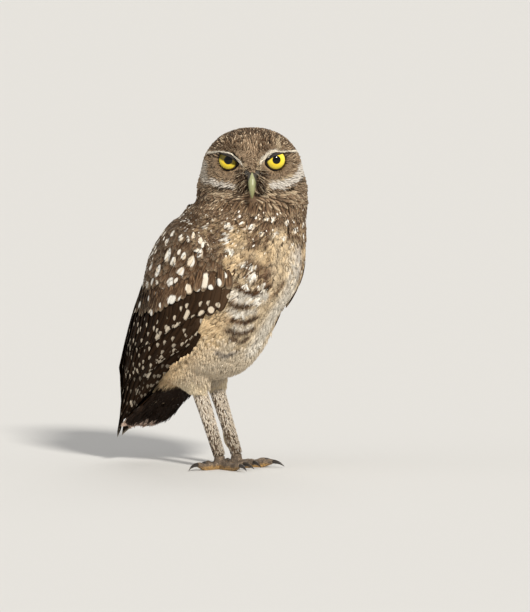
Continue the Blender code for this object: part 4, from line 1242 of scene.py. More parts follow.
# Wings
# Each folded wing is built as the real one is, in tiers that overlap from the shoulder to the tip: long
# primaries underneath, then secondaries, then four ranks of coverts. A feather carries the pale spot that
# lies nearest to it, and the long ones have a row of spots down both edges.

FLIGHT_OUTLINE = ((0, 0.35), (0.2, 0.85), (0.45, 1.0), (0.7, 0.95), (0.86, 0.72), (0.95, 0.42), (1, 0.0))
COVERT_OUTLINE = ((0, 0.4), (0.3, 0.9), (0.6, 1.0), (0.82, 0.88), (0.94, 0.58), (1, 0.0))
flight_shape = feather_shape(FLIGHT_OUTLINE, columns=4)
covert_shape = feather_shape(COVERT_OUTLINE, columns=4)

WARM_BROWN = (0.10, 0.048, 0.02)
BUFF_WHITE = (0.74, 0.64, 0.50)


def flight_finish(name, rows, warm, tip_from=0.97, tip_tone=BUFF_WHITE):
    """Dark vanes with warm edges, a row of pale spots down both edges and a pale mark of their own.

    size is a vane's half width, its length and the step of its row of spots. rows and warm say how strong
    the rows and the warm edges are, and tip_from where the pale tip begins. An attribute fades the rows
    towards the wing tips.
    """
    made, shader, wire = material(name, roughness=0.8, specular=0.05)
    along_it, across_it, chance, half, length, step, ripple, streak = read_blade(wire, 9.0, 0.12, 1.2)
    spot_along, spot_across, spot_radius = wire.attribute("spot").parts()
    off_shaft = abs(across_it)
    edge = off_shaft.ramp(0.25, 0.9) * 0.4 * warm + (streak - 0.5) * warm
    ground = edge.blend(wire.attribute("ground"), WARM_BROWN)
    ground = ground.dimmed(ripple * RIPPLE + chance * 0.3)
    ground = ground.dimmed((1 - (off_shaft * half).ramp(0.15, 0.35)) * 0.5)
    spot_fade, _, _ = wire.attribute("spot_fade").parts()
    place = (1 - along_it) * length / step + 0.42 + chance * 0.9
    along_spot = (place.maths("FRACT", place) - 0.5) * step / 1.9
    across_spot = (1 - off_shaft) * half / 2.4
    reach = along_spot * along_spot + across_spot * across_spot
    reach = reach * (0.3 + streak * 1.5)
    row = (1 - (reach + ripple * 0.08).ramp(0.6, 1.0)) * along_it.ramp(0.2, 0.3)
    d_along = (along_it - spot_along) * length
    d_across = (across_it - spot_across) * half
    own = (d_along * d_along + d_across * d_across).root()
    own = 1 - (own * (0.72 + streak * 0.6) / spot_radius).ramp(0.75, 1.1)
    tip = (along_it + ripple * 0.004).ramp(tip_from, tip_from + 0.025)
    row = row * rows * (1 - spot_fade * 0.65)
    tone = (row.or_more(own) * 0.92).blend(ground, BUFF_WHITE)
    link((tip * 0.6).blend(tone, tip_tone), shader, "Base Color")
    bump(wire, shader, ripple, strength=0.3, distance=0.1 * MM)
    return made


vane_finish = flight_finish("flight_feathers", rows=0.85, warm=0.5)

# Each tier: its count, the line of its tips as stations and shares across the wing, the length of its
# first and last feather, half a feather's width, how high it lies and how far it tilts, how far the
# roots lie nearer the back edge, and the step of its row of spots, if it has one.
TIERS = {
    "primaries": {
        "tips": ((6.9, 0.03), (8.0, 0.08), (8.9, 0.2), (9.4, 0.4), (9.7, 0.7)),
        "count": 12, "lengths": (62, 112), "half": 5.6, "lift": 0.0, "tilt": 0.2, "shift": 0.03, "step": 11.0,
    },
    "secondaries": {
        "tips": ((5.2, 0.13), (6.3, 0.24), (7.3, 0.42), (8.2, 0.7), (8.6, 0.95)),
        "count": 16, "lengths": (50, 84), "half": 6.0, "lift": 0.5, "tilt": 0.18, "shift": 0.02, "step": 12.5,
    },
    "primary_coverts": {
        "tips": ((4.6, 0.09), (5.6, 0.13), (6.5, 0.17)),
        "count": 8, "lengths": (26, 34), "half": 4.0, "lift": 0.9, "tilt": 0.18, "shift": 0.03, "step": 10.0,
    },
    "greater_coverts": {
        "tips": (
            (3.0, 0.03), (3.45, 0.14), (3.75, 0.19), (4.2, 0.24),
            (5.1, 0.31), (5.75, 0.4), (6.1, 0.55), (6.4, 0.86),
        ),
        "count": 20, "lengths": (22, 38), "half": 4.2, "lift": 1.2, "tilt": 0.16, "shift": 0.03, "step": 13.0,
    },
    "median_coverts": {
        "tips": ((2.25, 0.03), (2.5, 0.14), (2.9, 0.24), (3.45, 0.31), (4.2, 0.42), (4.7, 0.56), (5.2, 0.84)),
        "count": 22, "lengths": (11, 20), "half": 3.0, "lift": 1.4, "tilt": 0.07, "shift": 0.03,
    },
}
# How many stations from its tips a tier takes its ground colour, how much sooner the far wing's primaries
# end, and over which stations the rows of spots fade.
TONE_SHIFT = {"greater_coverts": 0.95}
OTHER_TONE_SHIFT = -0.3
FAR_TIP_SHORTER = 0.12
SPOT_FADE_FROM, SPOT_FADE_TO = 6.4, 8.8


def tier(name, side):
    """One rank of a wing's feathers, laid from its front edge to its back edge."""
    row = TIERS[name]
    count, half = row["count"], row["half"]
    first, last = row["lengths"]
    rank = np.linspace(0, 1, count)
    line = np.array(row["tips"])
    runs = np.concatenate(((0,), np.cumsum(np.hypot(np.diff(line[:, 0]), 3 * np.diff(line[:, 1])))))
    tip_t = np.interp(rank * runs[-1], runs, line[:, 0]) + draw.normal(0, 0.04, count)
    tip_t -= FAR_TIP_SHORTER * (side > 0) * (name == "primaries")
    tip_share = np.interp(rank * runs[-1], runs, line[:, 1])
    length = first + (last - first) * rank + draw.normal(0, 0.8, count)
    u = np.linspace(0, 1, 9)
    t = tip_t[:, None] - (1 - u) * (length / STATION_MM)[:, None]
    share = tip_share[:, None] + (1 - u) * row["shift"]
    angle = wing_angle(t, share, side)
    path, normal = on_hull(t, angle), hull_normal(t, angle)
    lifted = path + normal * MM * (row["lift"] + 0.05 * np.arange(count)[:, None, None])
    spot = marked(lifted, half, length, *spots_on_wing(side))
    ground = wing_plumage(t[:, -1] + TONE_SHIFT.get(name, OTHER_TONE_SHIFT), tip_share)
    looks = {"ground": ground, "spot": spot, "size": sizes(half, length, row.get("step", 1.1))}
    if "step" in row:
        looks["spot_fade"] = np.tile(ramp(tip_t, SPOT_FADE_FROM, SPOT_FADE_TO)[:, None], (1, 3))
        finish, shape = vane_finish, flight_shape
    else:
        finish, shape = fringed_finish, covert_shape
    places = unwrap_trunk(t[:, 4], angle[:, 4])
    half = half * draw.uniform(0.85, 1.1, count)
    full_name = f"{name}_{SIDE_NAME[side]}"
    lie = {"sink": 0.3, "rise": 0.3, "arch": 0.08, "tilt": -row["tilt"] * side}
    grow(full_name, shape, lifted, normal, half, looks, places, finish, **lie)


def lesser_coverts(side):
    """Small coverts in staggered rows, from the shoulder down to the roots of the median coverts."""
    t, share = [], []
    for i, row in enumerate(np.arange(0.85, 4.4, 0.19)):
        count = int(np.clip(8 + 15 * row, 10, 24))
        t.append(np.full(count, row) + draw.normal(0, 0.05, count))
        across = (np.arange(count) + (0.25 if i % 2 else 0.75)) / count * 0.95
        share.append(across + draw.normal(0, 0.01, count))
    t, share = np.concatenate(t), np.concatenate(share)
    median = np.array(TIERS["median_coverts"]["tips"])
    kept = t < np.interp(share, median[:, 1], median[:, 0]) - 0.75
    t, share = t[kept], share[kept]
    count = len(t)
    length = 10.0 + 3.0 * ramp(t, 0.9, 2.2) + draw.normal(0, 0.6, count)
    half = 2.1 + 0.8 * ramp(t, 0.9, 2.2) + draw.normal(0, 0.15, count)
    down = t[:, None] + STATIONS_ON_FEATHER * (length / STATION_MM)[:, None]
    angle = wing_angle(down, share[:, None] + 0 * down, side)
    path, normal = on_hull(down, angle), hull_normal(down, angle)
    looks = {
        "ground": wing_plumage(down[:, -1], share),
        "spot": marked(path, half, length, *spots_on_wing(side)),
        "size": sizes(half, length, 1.4),
    }
    places = unwrap_trunk(t, angle[:, 0])
    name = f"lesser_coverts_{SIDE_NAME[side]}"
    lie = {"sink": 0.4, "rise": 0.4 + 0.9 * ramp(t, 1.2, 2.6), "arch": 0.1, "tilt": -0.08 * side}
    grow(name, covert_shape, path, normal, half, looks, places, mantle_finish, **lie)


for side in SIDE_NAME:
    for name in TIERS:
        tier(name, side)
    lesser_coverts(side)

# The far wing's barred front edge stands forward over the side of the breast. Its line is stations and
# the angle there in degrees.
EDGE_VANES = 7
EDGE_LINE = (1.3, 2.0, 2.6, 3.2, 3.7), (38, 27, 21, 24, 34)
EDGE_FROM = 1.35
EDGE_RUN = 2.35
EDGE_HALF_MM = 2.6
u = np.linspace(0, 1, 9)
rank = np.arange(EDGE_VANES)[:, None]
t = EDGE_FROM + EDGE_RUN * u - 0.08 * rank
angle = np.radians(np.interp(t, *EDGE_LINE) + 5.0 * rank)
path, normal = on_hull(t, angle), hull_normal(t, angle)
path = path + normal * MM * (0.5 - 0.06 * rank[:, :, None])
length = np.full(EDGE_VANES, EDGE_RUN * STATION_MM)
ground = wing_plumage(np.full(EDGE_VANES, 3.8), np.zeros(EDGE_VANES))
looks = plain_looks(ground, EDGE_HALF_MM, length, third=5.6)
edge_finish = flight_finish("barred_edge", rows=1.0, warm=0.8)
places = unwrap_trunk(t[:, 4], angle[:, 4])
grow("wing_edge_left", flight_shape, path, normal, EDGE_HALF_MM, looks, places, edge_finish, 0.3, 0.3, 0.1)

# Head
# Tiny feathers radiate from the bill over the crown and down the nape, and from each eye over the disc
# of the face. They are hair-fine on the face and lengthen towards the throat and nape.

BILL_ROOT_MM = np.array((0.0, 26.0, 196.0))
head_tree, _ = tree_of(("head", "neck"))
EYE_SPOTS_MM = np.array([in_head(EYES[side][None])[0] for side in ("right", "left")])


def scattered(nodes, spacing, keep, most):
    """Points spread evenly but at random over CAD nodes, spacing metres apart, and the normals there.

    spacing may be a function of the points. keep says which are wanted of the most that are tried.
    """
    points, faces = [], []
    for node in nodes:
        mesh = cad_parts[node].data
        start = len(points)
        points += [tuple(v.co) for v in mesh.vertices]
        faces += [[start + i for i in face.vertices] for face in mesh.polygons]
    corners = np.array(points)[np.array(faces)]
    cross = np.cross(corners[:, 1] - corners[:, 0], corners[:, 2] - corners[:, 0])
    area = np.linalg.norm(cross, axis=1)
    chosen = draw.choice(len(area), most, p=area / area.sum())
    a, b = draw.random((2, most, 1))
    flip = a + b > 1
    a, b = np.where(flip, 1 - a, a), np.where(flip, 1 - b, b)
    first, second, third = np.moveaxis(corners[chosen], 1, 0)
    spots = first + a * (second - first) + b * (third - first)
    normals = unit(cross[chosen])
    wanted = keep(spots, normals)
    spots, normals = spots[wanted], normals[wanted]
    gaps = np.broadcast_to(spacing(spots) if callable(spacing) else spacing, len(spots))
    near = KDTree(len(spots))
    for i, spot in enumerate(spots):
        near.insert(spot, i)
    near.balance()
    alive = np.ones(len(spots), bool)
    for i, spot in enumerate(spots):
        if alive[i]:
            for _, j, _ in near.find_range(spot, gaps[i]):
                alive[j] = j == i
    return spots[alive], normals[alive]


TRACE_STEPS = 4


def traced(tree, roots, lengths, lie, free=0.0):
    """Paths that follow a surface from their roots along a field of directions, and their normals.

    Where the surface falls away they hang clear of it by up to free metres.
    """
    points = [roots]
    fields = [np.array([tree.find_nearest(p)[1] for p in roots])]
    for _ in range(TRACE_STEPS):
        here, out = points[-1], fields[-1]
        way = lie(here, out)
        slope = np.sum(way * out, axis=1, keepdims=True)
        way = unit(way - out * (np.minimum(slope, 0) if free else slope))
        ahead = here + way * (lengths / TRACE_STEPS)[:, None]
        found = [tree.find_nearest(p) for p in ahead]
        nearest, outward = (np.array([f[k] for f in found]) for k in (0, 1))
        off = ahead - nearest
        reach = np.maximum(np.linalg.norm(off, axis=1), TINY)
        clear = np.where(np.sum(off * outward, axis=1) > 0, np.minimum(free / reach, 1), 0)
        points.append(nearest + off * clear[:, None])
        fields.append(unit(0.5 * out + 0.5 * outward))
    return np.stack(points, axis=1), np.stack(fields, axis=1)


def head_lie(points, normals):
    """The way that the head's feathers lie."""
    places = in_head(points)
    way = unit(places - BILL_ROOT_MM)
    behind = ramp(places[:, 1], 4, -18)
    way = way + behind[:, None] * (0, 0, -1.6)
    collar = ramp(places[:, 2], 187, 184) * ramp(places[:, 1], 4, 14)
    sideways = np.sign(places[:, :1]) * (1.0, -0.3, 0.0) + np.array((0, 0, -0.35))
    way = way * (1 - collar[:, None]) + sideways * collar[:, None]
    way = way + (ramp(places[:, 2], 180, 175) * 1.2)[:, None] * (0, 0, -1.0)
    for eye in EYE_SPOTS_MM:
        out = places - eye
        gap = np.hypot(out[:, 0], out[:, 2])
        hold = ramp(gap, 17, 8) * ramp(places[:, 1], 4, 10) * 2.2
        way = way + hold[:, None] * unit(out * (1, 0.3, 1))
    return way @ HEAD_AXES


def face_share(places):
    """1 on the face, 0 on crown, nape and throat."""
    x, y, z = places.T
    return ramp(y, 2, 12) * ramp(z, 212, 205) * ramp(z, 183, 188)


HEAD_GAP_MM = 1.45
CROWN_CLOSER_MM = 0.3
FACE_GAP_MM = 0.85


def head_spacing(points):
    face = face_share(in_head(points))
    crown = ramp(points[:, 2] / MM, 200, 212)
    return MM * (HEAD_GAP_MM - CROWN_CLOSER_MM * crown) * (1 - face) + MM * FACE_GAP_MM * face


BARE_ROUND_EYE_MM = 7.3
NECK_BASE_MM = 172


def head_kept(points, normals):
    x, y, z = in_head(points).T
    at_bill = (np.abs(x) < 2.6) & (y > 22) & (z > 187) & (z < 199)
    at_eye = (y > 4) & (np.hypot(np.abs(x) - EYE_OUT_MM, z - EYE_UP_MM) < BARE_ROUND_EYE_MM)
    return ~at_bill & ~at_eye & (z > NECK_BASE_MM)


HEAD_MIDDLE_MM = 188


def unwrap_head(points):
    """A place's spot on the unwrapped head: round it, and down from the crown."""
    x, y, z = in_head(points).T
    slope = np.arctan2(np.hypot(x, y), z - HEAD_MIDDLE_MM)
    return on_map(np.arctan2(x, y) / math.tau + 0.5, slope / math.pi)


HEAD_CREAM = (0.66, 0.53, 0.37)
HEAD_TAN = (0.42, 0.29, 0.18)
HEAD_OUTLINE = ((0, 0.35), (0.35, 0.9), (0.7, 1.0), (0.9, 0.6), (1, 0.0))
small_shape = feather_shape(HEAD_OUTLINE)
roots, _ = scattered(("head", "neck"), head_spacing, head_kept, 90000)
places = in_head(roots)
face = face_share(places)
crown = ramp(places[:, 2], 196, 210)
count = len(roots)
length = (7.6 - 2.0 * crown) * (1 - face) + 4.0 * face + draw.normal(0, 0.6, count)
half = (1.05 - 0.25 * crown) * (1 - face) + 0.4 * face + draw.normal(0, 0.06, count)
path, normal = traced(head_tree, roots, length * MM, head_lie)
path = fitted(path)
ground = head_plumage(path[:, 3] + draw.normal(0, 0.3 * MM, (count, 3)))
brown_there = ground.mean(axis=1) < 0.36
tint = draw.random(count)
ground = np.where(((tint < 0.3) & brown_there)[:, None], 0.5 * ground + 0.5 * np.array(TAN), ground)
ground = np.where(((tint > 0.8) & brown_there)[:, None], 0.5 * ground, ground)
collar = ramp(places[:, 2], 188, 184) * ramp(places[:, 2], 174, 178)
creamy = (tint > 0.42) & (tint < 0.42 + 0.3 * collar)
ground = np.where(creamy[:, None], 0.25 * ground + 0.75 * np.array(HEAD_CREAM), ground)
fleck = (draw.random(count) < 0.24 - 0.05 * face - 0.12 * collar) & brown_there
radius = np.where(fleck, draw.uniform(0.2, 0.42, count) * (1 - 0.4 * face), NO_SPOT[2])
spot = np.stack((draw.uniform(0.6, 0.85, count), draw.uniform(-0.3, 0.3, count), radius), axis=1)
looks = {"ground": ground, "spot": spot, "size": sizes(half, length, 3.6)}
rise = 0.6 * face * draw.random(count) + 0.4 * draw.random(count) - 0.5 * crown
head_finish = feather_finish(
    "head_feathers", fringe=0.2, uneven=0.3, root_shade=0.35, gleam=0.2, spot_tones=(HEAD_CREAM, HEAD_TAN)
)
places = unwrap_head(roots)
grow("head_feathers", small_shape, path, normal, half, looks, places, head_finish, sink=1.3, rise=rise)

# Eyes
# Large yellow eyes set deep under the brows, each a wet ball with a black pupil, inside a black rim of
# bare lid that cuts off the top of the iris. The brow's shadow is painted over the top of each iris, deep
# on the right eye and faint on the left.

EYE_RADIUS_MM = 8.2
EYE_OUTWARD = math.radians(14)
CORNEA_MM = 0.9
CORNEA_FROM = 0.6
IRIS_MM = 6.25
PUPIL_MM = 2.75
LID_OUTER_MM = 7.5
LID_RIM_MM = 6.45
LID_THICKNESS_MM = 0.45
LID_GAP_MM = 0.25
LID_PASSES = 12
# The upper lid's height over the eye's middle and its slant. Next, how far out and up the pupil stands
# from there, and how far up the brow's shadow, painted on the iris, begins.
UPPER_LIDS = {"right": (2.7, 0.26), "left": (3.1, 0.24)}
PUPIL_AND_BROW_SHADOW = {"right": (-0.85, 0.0, -2.4), "left": (-0.4, 0.25, 3.1)}
LID_DROOP = 0.07
IRIS_GOLD = (0.93, 0.68, 0.035)
IRIS_LEMON = (0.94, 0.83, 0.13)
IRIS_FIBRE = (0.80, 0.50, 0.02)
IRIS_EDGE = (0.25, 0.13, 0.01)
IRIS_BROW_SHADOW = (0.045, 0.035, 0.006)
PUPIL_BLACK = (0.002, 0.002, 0.002)
EYEBALL_DARK = (0.008, 0.006, 0.005)
LID_BLACK = (0.012, 0.009, 0.008)
LID_FOLDS = (0.035, 0.024, 0.018)


def lid_height(side, x):
    """How high the upper lid's edge stands over the eye's middle, x mm outwards from it."""
    middle, slant = UPPER_LIDS[side]
    return middle + slant * x - LID_DROOP * np.minimum(x, 0) ** 2


def eye_matrix(side):
    """The eye's own axes: x outwards along the face, y ahead along its gaze, z up."""
    out = 1 if side == "left" else -1
    gaze = Vector(HEAD_AHEAD * math.cos(EYE_OUTWARD) + out * HEAD_LEFT * math.sin(EYE_OUTWARD))
    aside = out * gaze.cross(Vector((0, 0, 1)))
    if aside.dot(Vector(HEAD_LEFT)) * out < 0:
        aside = -aside
    centre = Vector(EYES[side]) - gaze * CORNEA_MM * MM / 2
    axes = Matrix((aside, gaze, Vector((0, 0, 1)))).transposed()
    return Matrix.Translation(centre) @ axes.to_4x4()


def cornea(share):
    """How far the cornea bulges, in mm, at a share of the eyeball's radius ahead of its centre."""
    return CORNEA_MM * max(0.0, (share - CORNEA_FROM) / (1 - CORNEA_FROM))


def eye_front(x, z, over):
    """How far ahead of its centre the eyeball's front stands, in mm, if it were larger by over."""
    radius = EYE_RADIUS_MM + over
    deep = math.sqrt(max(radius**2 - x * x - z * z, 0.0))
    return deep + cornea(deep / radius)


def settled(bm, name, matrix, finish):
    """Places a finished bmesh, with its faces turned outwards, as a smooth object that rides on the bird."""
    bmesh.ops.transform(bm, matrix=matrix, verts=bm.verts)
    bmesh.ops.recalc_face_normals(bm, faces=bm.faces)
    made = object_of(bm, name)
    made.data.materials.clear()
    made.data.materials.append(finish)
    made.data.shade_smooth()
    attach(made, "root")
    return made


eye_finish, shader, wire = material("wet_eye", roughness=0.3, specular=0.0)
shader.inputs["Coat Weight"].default_value = 0.55
shader.inputs["Coat Roughness"].default_value = 0.02
gaze_x, _, gaze_z = wire.attribute("gaze").parts()
off_centre = (gaze_x * gaze_x + gaze_z * gaze_z).root()
spoke = {0: gaze_x / off_centre, 1: gaze_z / off_centre, 2: off_centre * 0.05}
spoke = wire.node("ShaderNodeCombineXYZ", (), spoke)
fibres = wire.node("ShaderNodeTexNoise", (), {"Vector": spoke, "Scale": 14.0, "Detail": 3.0})
iris = off_centre.ramp(PUPIL_MM, IRIS_MM).blend(IRIS_GOLD, IRIS_LEMON)
iris = (fibres.ramp(0.35, 0.75) * 0.3).blend(iris, IRIS_FIBRE)
iris = off_centre.ramp(IRIS_MM - 0.7, IRIS_MM - 0.05).blend(iris, IRIS_EDGE)
pupil_x, pupil_z, shade_z = wire.attribute("pupil_and_shadow").parts()
# Painted shadow: the brow's shade darkens the iris from a height that drops towards the inner corner.
shade = (gaze_z - gaze_x * 0.42 - shade_z).ramp(0.0, 1.7) * 0.95
iris = shade.blend(iris, IRIS_BROW_SHADOW)
pupil_x, pupil_z = gaze_x - pupil_x, gaze_z - pupil_z
off_pupil = (pupil_x * pupil_x + pupil_z * pupil_z).root()
iris = (1 - off_pupil.ramp(PUPIL_MM - 0.12, PUPIL_MM + 0.12)).blend(iris, PUPIL_BLACK)
iris = off_centre.ramp(IRIS_MM - 0.1, IRIS_MM + 0.15).blend(iris, EYEBALL_DARK)
link(iris, shader, "Base Color")

lid_finish, shader, wire = material("bare_lid", roughness=0.55, specular=0.4)
lid_fold = wire.node("ShaderNodeTexNoise", (), {"Scale": 1400.0, "Detail": 2.0})
link((lid_fold * 0.6).blend(LID_BLACK, LID_FOLDS), shader, "Base Color")
bump(wire, shader, lid_fold, strength=0.6, distance=0.4 * MM)

for side in ("right", "left"):
    bm = bmesh.new()
    bmesh.ops.create_uvsphere(bm, u_segments=64, v_segments=40, radius=EYE_RADIUS_MM)
    bmesh.ops.rotate(bm, verts=bm.verts, matrix=Matrix.Rotation(math.radians(90), 3, "X"))
    for vertex in bm.verts:
        vertex.co.y += cornea(vertex.co.y / EYE_RADIUS_MM)
    gaze = np.array([vertex.co for vertex in bm.verts])
    eye = settled(bm, f"eyeball_{side}", eye_matrix(side) @ Matrix.Scale(MM, 4), eye_finish)
    put(eye.data, "gaze", gaze)
    put(eye.data, "pupil_and_shadow", np.tile(PUPIL_AND_BROW_SHADOW[side], (len(gaze), 1)))
    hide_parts(f"eye_{side}")

    # The lid is a flat ring rolled from a grid. Its inner edge gives way to the upper lid's line.
    bm = bmesh.new()
    grid = bmesh.ops.create_grid(bm, x_segments=56, y_segments=10, size=1)["verts"]
    for vertex in grid:
        turn = (vertex.co.x + 1) * math.pi
        roll = (vertex.co.y + 1) * math.pi
        inner = LID_RIM_MM
        for _ in range(LID_PASSES):
            x = inner * math.cos(turn)
            over = inner * math.sin(turn) - lid_height(side, x)
            inner -= 0.6 * max(0.0, over)
        reach = inner + (LID_OUTER_MM - inner) * (0.5 - 0.5 * math.cos(roll))
        x, z = reach * math.cos(turn), reach * math.sin(turn)
        thick = LID_THICKNESS_MM * math.sin(roll)
        vertex.co = (x, eye_front(x, z, LID_GAP_MM) + thick, z)
    bmesh.ops.remove_doubles(bm, verts=bm.verts, dist=1e-4)
    settled(bm, f"eyelids_{side}", eye_matrix(side) @ Matrix.Scale(MM, 4), lid_finish)

# Brows
# Small feathers stand above and below the lids. The pale brows and the bristles beside the bill are
# feathers as fine as hairs, rooted one by one on the face.

hair_points, hair_triangles = hair_shape(((0, 0.5), (0.35, 1.0), (0.75, 0.7)))
single_hair = hair_points * (1, 1, 3.0), hair_triangles
BROW_CREAM = (0.90, 0.83, 0.70)
BROW_HAIRS = 340
BROW_LENGTH_MM = 3.0
BROW_HALF_MM = 0.14
IN_FRONT = 0.06
face_tree, _ = tree_of(("head",), [bpy.data.objects[f"eyelids_{side}"].data for side in EYES])


def on_face(x, z):
    """Places on the head's surface or the lids that lie at (x, z) as seen from straight ahead."""
    spots = []
    for across, height in zip(x, z):
        start = Vector(HEAD_AXIS + np.array((across * MM, IN_FRONT, height * MM)) @ HEAD_AXES)
        spots.append(face_tree.ray_cast(start, Vector(-HEAD_AHEAD))[0])
    return np.array([tuple(s) for s in spots])


LID_FEATHERS = 1500
LID_BARE_MM = 1.0
for side, out in (("right", -1), ("left", 1)):
    x = draw.uniform(-9.8, 9.8, LID_FEATHERS)
    z = draw.uniform(-10.4, 9.2, LID_FEATHERS)
    far = np.hypot(x, z)
    above = (z > lid_height(side, x) + LID_BARE_MM) & (far < 9.2) & (far > LID_RIM_MM * 0.7) & (x < 7.0)
    below = (z < 1.0) & (far > LID_OUTER_MM - 0.3) & (far < 10.4)
    kept = above | below
    x, z, far, below = x[kept], z[kept], far[kept], below[kept]
    count = len(x)
    roots = on_face(out * (EYE_OUT_MM + x), EYE_UP_MM + z)
    lie_x = out * np.where(below, x / far, 0.5 + 0.12 * x)
    lie_z = np.where(below, z / far, 0.6 + 0.02 * z)

    def lid_lie(points, normals):
        return np.stack((lie_x, 0 * lie_x, lie_z), axis=1) @ HEAD_AXES

    length = draw.uniform(2.2, 3.4, count)
    path, normal = traced(face_tree, roots, length * MM, lid_lie)
    half = np.where(below, 0.3, 0.42)
    looks = plain_looks(head_plumage(path[:, 2]) * draw.uniform(0.45, 1.1, (count, 1)), half, length)
    places = unwrap_head(roots)
    grow(f"lid_feathers_{side}", small_shape, path, normal, half, looks, places, head_finish, 0.1, 0.5)

for side, line in BROWS_MM.items():
    line = np.array(line)
    runs = np.concatenate(((0,), np.cumsum(np.linalg.norm(np.diff(line, axis=0), axis=1))))
    at = draw.uniform(0, runs[-1], BROW_HAIRS)
    wide = 0.06 + (0.7 * ramp(at, 15, 8) if side == "left" else 0.4 * ramp(at, 6, 2))
    sway = draw.normal(0, 0.12, BROW_HAIRS)
    x = np.interp(at, runs, line[:, 0])
    z = np.interp(at, runs, line[:, 1]) + draw.normal(0, 1, BROW_HAIRS) * wide
    ahead, behind = (np.stack([np.interp(far, runs, row) for row in line.T]) for far in (at + 1.5, at - 1.5))
    run_x, run_z = ahead - behind
    roots = on_face(x, z)

    def brow_lie(points, normals):
        return np.stack((run_x - sway * run_z, 0 * run_x, run_z + sway * run_x + 0.1), axis=1) @ HEAD_AXES

    length = BROW_LENGTH_MM * draw.uniform(0.6, 1.2, BROW_HAIRS)
    path, normal = traced(face_tree, roots, length * MM, brow_lie)
    path = fitted(path)
    looks = plain_looks(BROW_CREAM * draw.uniform(0.65, 1.0, (BROW_HAIRS, 1)), BROW_HALF_MM, length)
    places = unwrap_head(roots)
    grow(f"brow_{side}", single_hair, path, normal, BROW_HALF_MM, looks, places, down_finish, 0.1, 0.8)

LORE_HAIRS = 330
LORE_HALF_MM = 0.16
x = draw.uniform(2.7, 7.4, LORE_HAIRS) * draw.choice((-1, 1), LORE_HAIRS)
z = draw.uniform(186.5, 199.5, LORE_HAIRS)
roots = on_face(x, z)


def lore_lie(points, normals):
    x, _, z = in_head(points).T
    return np.stack((np.sign(x) * 0.75, 0 * x, -1.0 + 0.08 * (z - 188)), axis=1) @ HEAD_AXES


length = draw.uniform(3.5, 6.5, LORE_HAIRS)
path, normal = traced(head_tree, roots, length * MM, lore_lie)
pale = draw.random(LORE_HAIRS)[:, None]
ground = np.where(pale < 0.64, SHADE_BROWN, np.where(pale < 0.86, GREY_BROWN, CREAM))
looks = plain_looks(ground, LORE_HALF_MM, length)
rise = draw.uniform(0.8, 2.2, LORE_HAIRS)
places = unwrap_head(roots)
grow("lore_bristles", single_hair, path, normal, LORE_HALF_MM, looks, places, down_finish, 0.1, rise)

# Bill
# A short hooked bill of smooth horn, dark and swollen round the nostrils at its root. It is remeshed from
# the solids as a fine smooth surface that keeps the nostrils open.

HORN_VOXEL = 0.22 * MM
HORN_DARK = (0.22, 0.215, 0.085)
HORN_PALE = (0.30, 0.31, 0.16)
HORN_SIDES_AND_SHADE = (0.12, 0.125, 0.045)
CERE_DARK = (0.045, 0.037, 0.028)
HORN_GRAIN = (0.25, 0.24, 0.13)
CERE_HEIGHT_MM = 191.8


def refined(name, nodes, voxel, smoothing, finish):
    """A fine smooth copy of CAD nodes, which it then replaces."""
    bm = bmesh.new()
    for node in nodes:
        bm.from_mesh(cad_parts[node].data)
    bmesh.ops.remove_doubles(bm, verts=bm.verts, dist=SAME_PLACE)
    made = object_of(bm, name)
    remesh = made.modifiers.new("Remesh", "REMESH")
    remesh.mode = "VOXEL"
    remesh.voxel_size = voxel
    smooth = made.modifiers.new("Smooth", "SMOOTH")
    smooth.iterations = smoothing
    apply_modifiers(made)
    made.data.materials.clear()
    made.data.materials.append(finish)
    made.data.shade_smooth()
    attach(made, "root")
    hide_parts(*nodes)


horn, shader, wire = material("bill_horn", roughness=0.38, specular=0.5)
shader.inputs["Coat Weight"].default_value = 0.25
place = wire.node("ShaderNodeTexCoord", (), (), "Object")
aside, deep, height = place.parts()
grain = wire.node("ShaderNodeTexNoise", (), {"Vector": place, "Scale": 700.0, "Detail": 3.0})
height = height / MM + grain * 2.0
middle_x, middle_y, _ = HEAD_AXIS / MM
from_middle = abs((aside / MM - middle_x) * HEAD_LEFT[0] + (deep / MM - middle_y) * HEAD_LEFT[1])
tone = height.ramp(182, 195).blend(HORN_DARK, HORN_PALE)
# The bill darkens away from its ridge. This is partly the horn's own olive sides and partly painted light: a
# highlight along the ridge and shade down the sides.
tone = (from_middle.ramp(0.9, 2.6) * 0.8).blend(tone, HORN_SIDES_AND_SHADE)
cere = from_middle + (height - CERE_HEIGHT_MM).or_more(0.0) * 0.4
tone = cere.ramp(2.7, 3.3).blend(tone, CERE_DARK)
link((grain.ramp(0.55, 0.75) * 0.25).blend(tone, HORN_GRAIN), shader, "Base Color")
bump(wire, shader, grain, strength=0.25, distance=0.2 * MM)
refined("bill_top", ("bill_upper",), HORN_VOXEL, 4, horn)
refined("bill_bottom", ("bill_lower",), HORN_VOXEL, 3, horn)

# Tail
# Six pairs of tail feathers in a narrow fan, the middle pair on top, with pale tips. They are nearly
# black with faint buff bars, which is painted shade of the tail's underside. They are rooted in the rump
# and lie along the tail's own slope.

TAIL_LENGTH_MM = 78.0
TAIL_FEATHERS = 12
TAIL_SPREAD_MM = 11.5
TAIL_FAN = math.radians(6.5)
TAIL_STEPPING = 0.03
TAIL_HALF_MM = 6.4
# The near black of the tail and of the vent's lower tufts is painted shade of their undersides.
UNDERSIDE_SHADE_BLACK = (0.022, 0.012, 0.007)
PINKISH_BUFF = (0.86, 0.65, 0.53)


# Painted shade: nearly black, up to the pale buff tip.
def painted_tail(points):
    past = (points - TAIL_TIP) @ TAIL_RUN / MM
    return toward(np.tile(UNDERSIDE_SHADE_BLACK, (len(points), 1)), PINKISH_BUFF, ramp(past, -11.0, -7.5))


